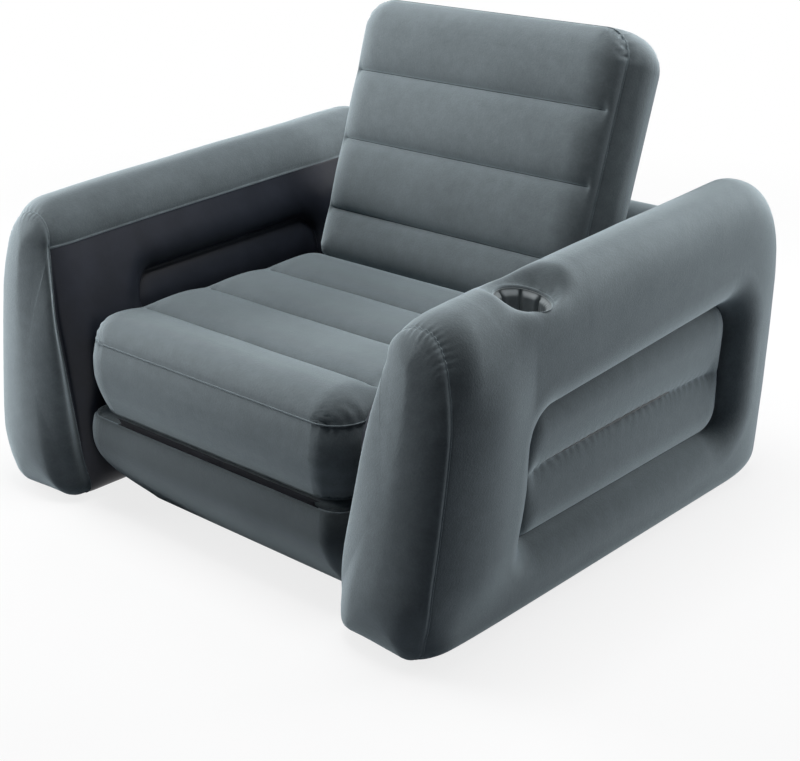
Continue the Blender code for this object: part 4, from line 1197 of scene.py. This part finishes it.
def fold_sheet(name, start, fold, end, ends, nodes, welds):
    """A welded strip across a fold, between both sections that it joins."""
    start, fold, end = Vector(start), Vector(fold), Vector(end)
    out = (fold - (start + end) / 2).normalized()
    depth = 0.10 * (fold - (start + end) / 2).length
    rows, cols = 48, 72
    line = []
    for k in range(rows + 1):
        t = k / rows
        ridge = 0.0016 * abs(math.cos(math.pi * t * welds)) ** 24 if 0 < k < rows else 0.0
        line.append(start.lerp(end, t) + out * (depth * math.sin(math.pi * t) ** 0.42 + ridge))

    def place(row, col):
        t = row / rows
        x = lerp(ends[0], ends[1], col / cols)
        over = min(x - ends[0], ends[1] - x)
        hollow = 0.014 * math.sin(math.pi * t) ** 0.7 * (1 - rounding(over, 0.03))
        x += hollow if col < cols / 2 else -hollow
        wave = 0.0006 * ripple((x, t * 0.03, 0.0), 30.0, 3.0) * math.sin(math.pi * t)
        return line[row] + Vector((x, 0.0, 0.0)) + out * wave

    bm = grid_bmesh(rows, cols, place)
    # The strip wears the dark vinyl that is darkened further as painted shade.
    strip = piece(bm, name, None, [HINGE_PAINTED_SHADE_VINYL])
    shell = strip.modifiers.new("thickness", "SOLIDIFY")
    shell.thickness = 0.0008
    shell.offset = 0.0
    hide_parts(*nodes)
    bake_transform(strip)


def make_folds():
    half = SEAT_HALF_WIDTH - HINGE_END
    front_ends = (-half + 0.030, half + 0.012)
    seam_y = FRONT + BASE_FRONT
    axis = (0.0, seam_y - HINGE_REACH, BASE_SEAM + HINGE_REACH / 2)
    fold_sheet("seat_fold", (0.0, seam_y, BASE_SEAM + 0.0005), axis, (0.0, seam_y, SEAT_LOW - 0.0005),
               front_ends,
               ("hinge_strip_base", "hinge_strip_seat"), 4)
    axis = back_hinge()
    foot = axis + HINGE_REACH * Vector((0.0, math.sin(BACK_LEAN), math.cos(BACK_LEAN)))
    fold_sheet("backrest_fold", axis - Vector((0.0, HINGE_REACH, 0.0)), axis, foot, (-half, half),
               ("fold_strip_seat", "fold_strip_backrest"), 2)


# Wall behind the backrest


def behind_backrest(z):
    """How far back the leaning backrest reaches at a height."""
    through = BACK_BAND + BACK_REAR_CROWN + 0.0005
    hinge = back_hinge()
    return hinge.y + through / math.cos(BACK_LEAN) + (z - hinge.z) * math.tan(BACK_LEAN)


def wall_half(y, z):
    """Half the wall's width, up to the arm's inner side."""
    rear = 1.0 - rounding(REAR - y, ARM_REAR_ROUND)
    scale = arm_height(y) / MID_HEIGHT * (1.0 - ARM_REAR_TOP_DROP * rear)
    section_z = (z - ARM_REAR_FOOT_LIFT * rear) / scale
    x = arm_inner_x(min(section_z, SEAM_HEIGHT))
    return x - rear_draw(rear, section_z) * (x - ARM_INNER) / ARM_WIDTH - 0.001


def wall_loop():
    """(y, z) places round the wall's section, from its front foot over its top to its rear foot."""
    rear = REAR - BASE_REAR_MARGIN
    foot = BASE_SEAM + BASE_CROWN + 0.0008
    shoulder = WALL_HEIGHT - WALL_TOP_ROUND
    front = [(behind_backrest(z), z) for z in spread([foot + 0.02, shoulder], [34])]
    front_top = behind_backrest(shoulder)
    middle, half = (front_top + rear) / 2, (rear - front_top) / 2
    turns = [math.pi * k / 24 for k in range(1, 24)]
    top = [(middle - half * math.cos(turn), shoulder + WALL_TOP_ROUND * math.sin(turn))
           for turn in turns]
    web_z = lerp(foot, shoulder, 5 / 8)
    back = []
    for z in spread([shoulder, foot + 0.02], [60]):
        pinch = 1.0 - rounding(abs(z - web_z), 0.09)
        back.append((rear - 0.014 * pinch - 0.0004, z))
    corner_rear = [(rear - 0.02 * (1 - math.cos(t)), foot + 0.02 * (1 - math.sin(t)))
                   for t in (0.25 * math.pi, 0.5 * math.pi)]
    start = behind_backrest(foot + 0.02)
    under = [(lerp(rear - 0.02, start + 0.02, k / 8), foot) for k in range(1, 9)]
    return front + top + back + corner_rear + under + [(start + 0.006, foot + 0.006)]


def make_wall():
    loop = wall_loop()
    shares = spread([-1.0, -0.97, -0.9, 0.9, 0.97, 1.0], [3, 4, 40, 4, 3])

    def place(row, col):
        y, z = loop[col]
        share = shares[row]
        side = 1.0 - abs(share)
        draw = 0.012 * (1.0 - rounding(side, 0.06))
        middle_y, middle_z = 0.42, 0.36
        y += math.copysign(draw, middle_y - y) * 0.5
        z += (draw if z < middle_z else -draw) * 0.6
        z -= 0.022 * ease((abs(share) - 0.80) / 0.20) * ease((z - 0.40) / 0.14)
        y += 0.0014 * ripple((share, y, z), 5.0, 8.0)
        return Vector((share * wall_half(min(y, REAR - BASE_REAR_MARGIN), z), min(y, REAR), z))

    bm = grid_bmesh(len(shares) - 1, len(loop), place, ring=True)
    close_loops(bm)
    bmesh.ops.recalc_face_normals(bm, faces=bm.faces)
    padded_piece(bm, "rear_wall", "frame", [FLOCK], ("wall_front", "wall_top", "wall_rear"))


def dress_nodes():
    """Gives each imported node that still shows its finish."""
    for name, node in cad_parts.items():
        if "_web" in name:
            finish = INNER_SHEET
        elif "valve_flap" in name:
            # Valve flaps wear the hinge vinyl, which is darkened as painted shade.
            finish = HINGE_PAINTED_SHADE_VINYL
        elif "valve" in name:
            finish = VALVE
        else:
            continue
        for slot in node.material_slots:
            slot.material = finish


# Stage


SEEN_RAYS = ("Is Camera Ray", "Is Glossy Ray", "Is Transmission Ray")
LAMP_AIM = Vector((0.05, 0.0, 0.35))
LAMP_DISTANCE = 3.2
CAMERA_AT = (1.9792, -2.1774, 1.3836)
CAMERA_YAW, CAMERA_PITCH = 0.72937, 0.38031
# The focal length as a share of the picture's width
CAMERA_FOCUS = 1539.5 / 800.0


def make_stage():
    """A white floor that keeps a soft shadow of the chair."""
    bm = bmesh.new()
    bmesh.ops.create_grid(bm, x_segments=1, y_segments=1, size=12.0)
    mesh = bpy.data.meshes.new("floor")
    bm.to_mesh(mesh)
    bm.free()
    floor = bpy.data.objects.new("floor", mesh)
    floor.location.z = -0.0005
    bpy.context.scene.collection.objects.link(floor)
    finish = Finish("floor_paper")
    tree = finish.tree
    white = tree.nodes.new("ShaderNodeEmission")
    seen = tree.nodes.new("ShaderNodeLightPath")
    seen = [Value(finish, seen.outputs[ray]) for ray in SEEN_RAYS]
    seen = (seen[0] + seen[1] + seen[2]).clamp()
    away = finish.node("ShaderNodeVectorMath", {"operation": "LENGTH"}, {0: finish.place}, 1)
    fade = finish.node("ShaderNodeMapRange", {"interpolation_type": "SMOOTHSTEP"},
                       {"Value": away, "From Min": 1.3, "From Max": 3.2, "To Min": 0.80, "To Max": 1.0})
    share = seen * fade
    paper = finish.ramp(finish.noise(1.5, 2.0), [(0.3, grey(0.84, WHITE)), (0.7, grey(0.88, WHITE))])
    finish.set(Base_Color=finish.mix(seen, (0.24, 0.25, 0.27, 1), paper), Roughness=0.9,
               Specular_IOR_Level=0.1)
    both = tree.nodes.new("ShaderNodeMixShader")
    tree.links.new(share.socket, both.inputs[0])
    tree.links.new(finish.shader.outputs[0], both.inputs[1])
    tree.links.new(white.outputs[0], both.inputs[2])
    tree.links.new(both.outputs[0], tree.nodes["Material Output"].inputs[0])
    floor.data.materials.append(finish.material)


def make_world():
    """White where it is seen, and a faint cool light elsewhere."""
    world = bpy.data.worlds.new("studio")
    bpy.context.scene.world = world
    world.use_nodes = True
    tree = world.node_tree
    back = tree.nodes["Background"]
    back.inputs["Color"].default_value = (0.55, 0.75, 1.0, 1.0)
    back.inputs["Strength"].default_value = 0.03
    seen = tree.nodes.new("ShaderNodeBackground")
    seen.inputs["Color"].default_value = (1.0, 1.0, 1.0, 1.0)
    seen.inputs["Strength"].default_value = 1.0
    path = tree.nodes.new("ShaderNodeLightPath")
    mix = tree.nodes.new("ShaderNodeMixShader")
    first = tree.nodes.new("ShaderNodeMath")
    both = tree.nodes.new("ShaderNodeMath")
    both.use_clamp = True
    camera_ray, glossy_ray, transmission_ray = (path.outputs[ray] for ray in SEEN_RAYS)
    for source, socket in (
            (camera_ray, first.inputs[0]), (glossy_ray, first.inputs[1]),
            (first.outputs[0], both.inputs[0]), (transmission_ray, both.inputs[1]),
            (both.outputs[0], mix.inputs[0]), (back.outputs[0], mix.inputs[1]),
            (seen.outputs[0], mix.inputs[2]), (mix.outputs[0], tree.nodes["World Output"].inputs[0])):
        tree.links.new(source, socket)


def make_lights():
    """Square lamps round the chair, each by its bearing from the front, height angle, size and watts."""
    for name, bearing, height, size, watts in (
            ("left_softbox", -69, 10, 1.6, 82.0), ("high_left_softbox", -60, 65, 1.5, 24.0),
            ("rear_right_softbox", 150, 14, 1.6, 56.0), ("top_softbox", 0, 88, 1.6, 70.0),
            ("high_rear_softbox", 180, 60, 1.5, 24.0)):
        turn, rise = math.radians(bearing), math.radians(height)
        way = Vector((math.sin(turn) * math.cos(rise), -math.cos(turn) * math.cos(rise), math.sin(rise)))
        data = bpy.data.lights.new(name, "AREA")
        data.shape = "SQUARE"
        data.size = size
        data.energy = watts
        lamp = bpy.data.objects.new(name, data)
        lamp.location = LAMP_AIM + way * LAMP_DISTANCE
        lamp.rotation_euler = (LAMP_AIM - lamp.location).to_track_quat("-Z", "Y").to_euler()
        bpy.context.scene.collection.objects.link(lamp)


def make_camera():
    """The camera fitted to the photograph."""
    yaw, pitch = CAMERA_YAW, CAMERA_PITCH
    along = Vector((-math.sin(yaw) * math.cos(pitch), math.cos(yaw) * math.cos(pitch), -math.sin(pitch)))
    right = Vector((math.cos(yaw), math.sin(yaw), 0.0))
    up = right.cross(along)
    data = bpy.data.cameras.new("camera")
    data.sensor_width = 36.0
    data.lens = CAMERA_FOCUS * data.sensor_width
    data.clip_end = 50.0
    camera = bpy.data.objects.new("camera", data)
    bpy.context.scene.collection.objects.link(camera)
    turn = Matrix((right, up, -along)).transposed().to_4x4()
    camera.matrix_world = Matrix.Translation(CAMERA_AT) @ turn
    bpy.context.scene.camera = camera


make_arms()
make_seat()
make_backrest()
make_base()
make_folds()
make_wall()
dress_nodes()
make_stage()
make_world()
make_lights()
make_camera()
bpy.context.scene.view_settings.view_transform = "Standard"
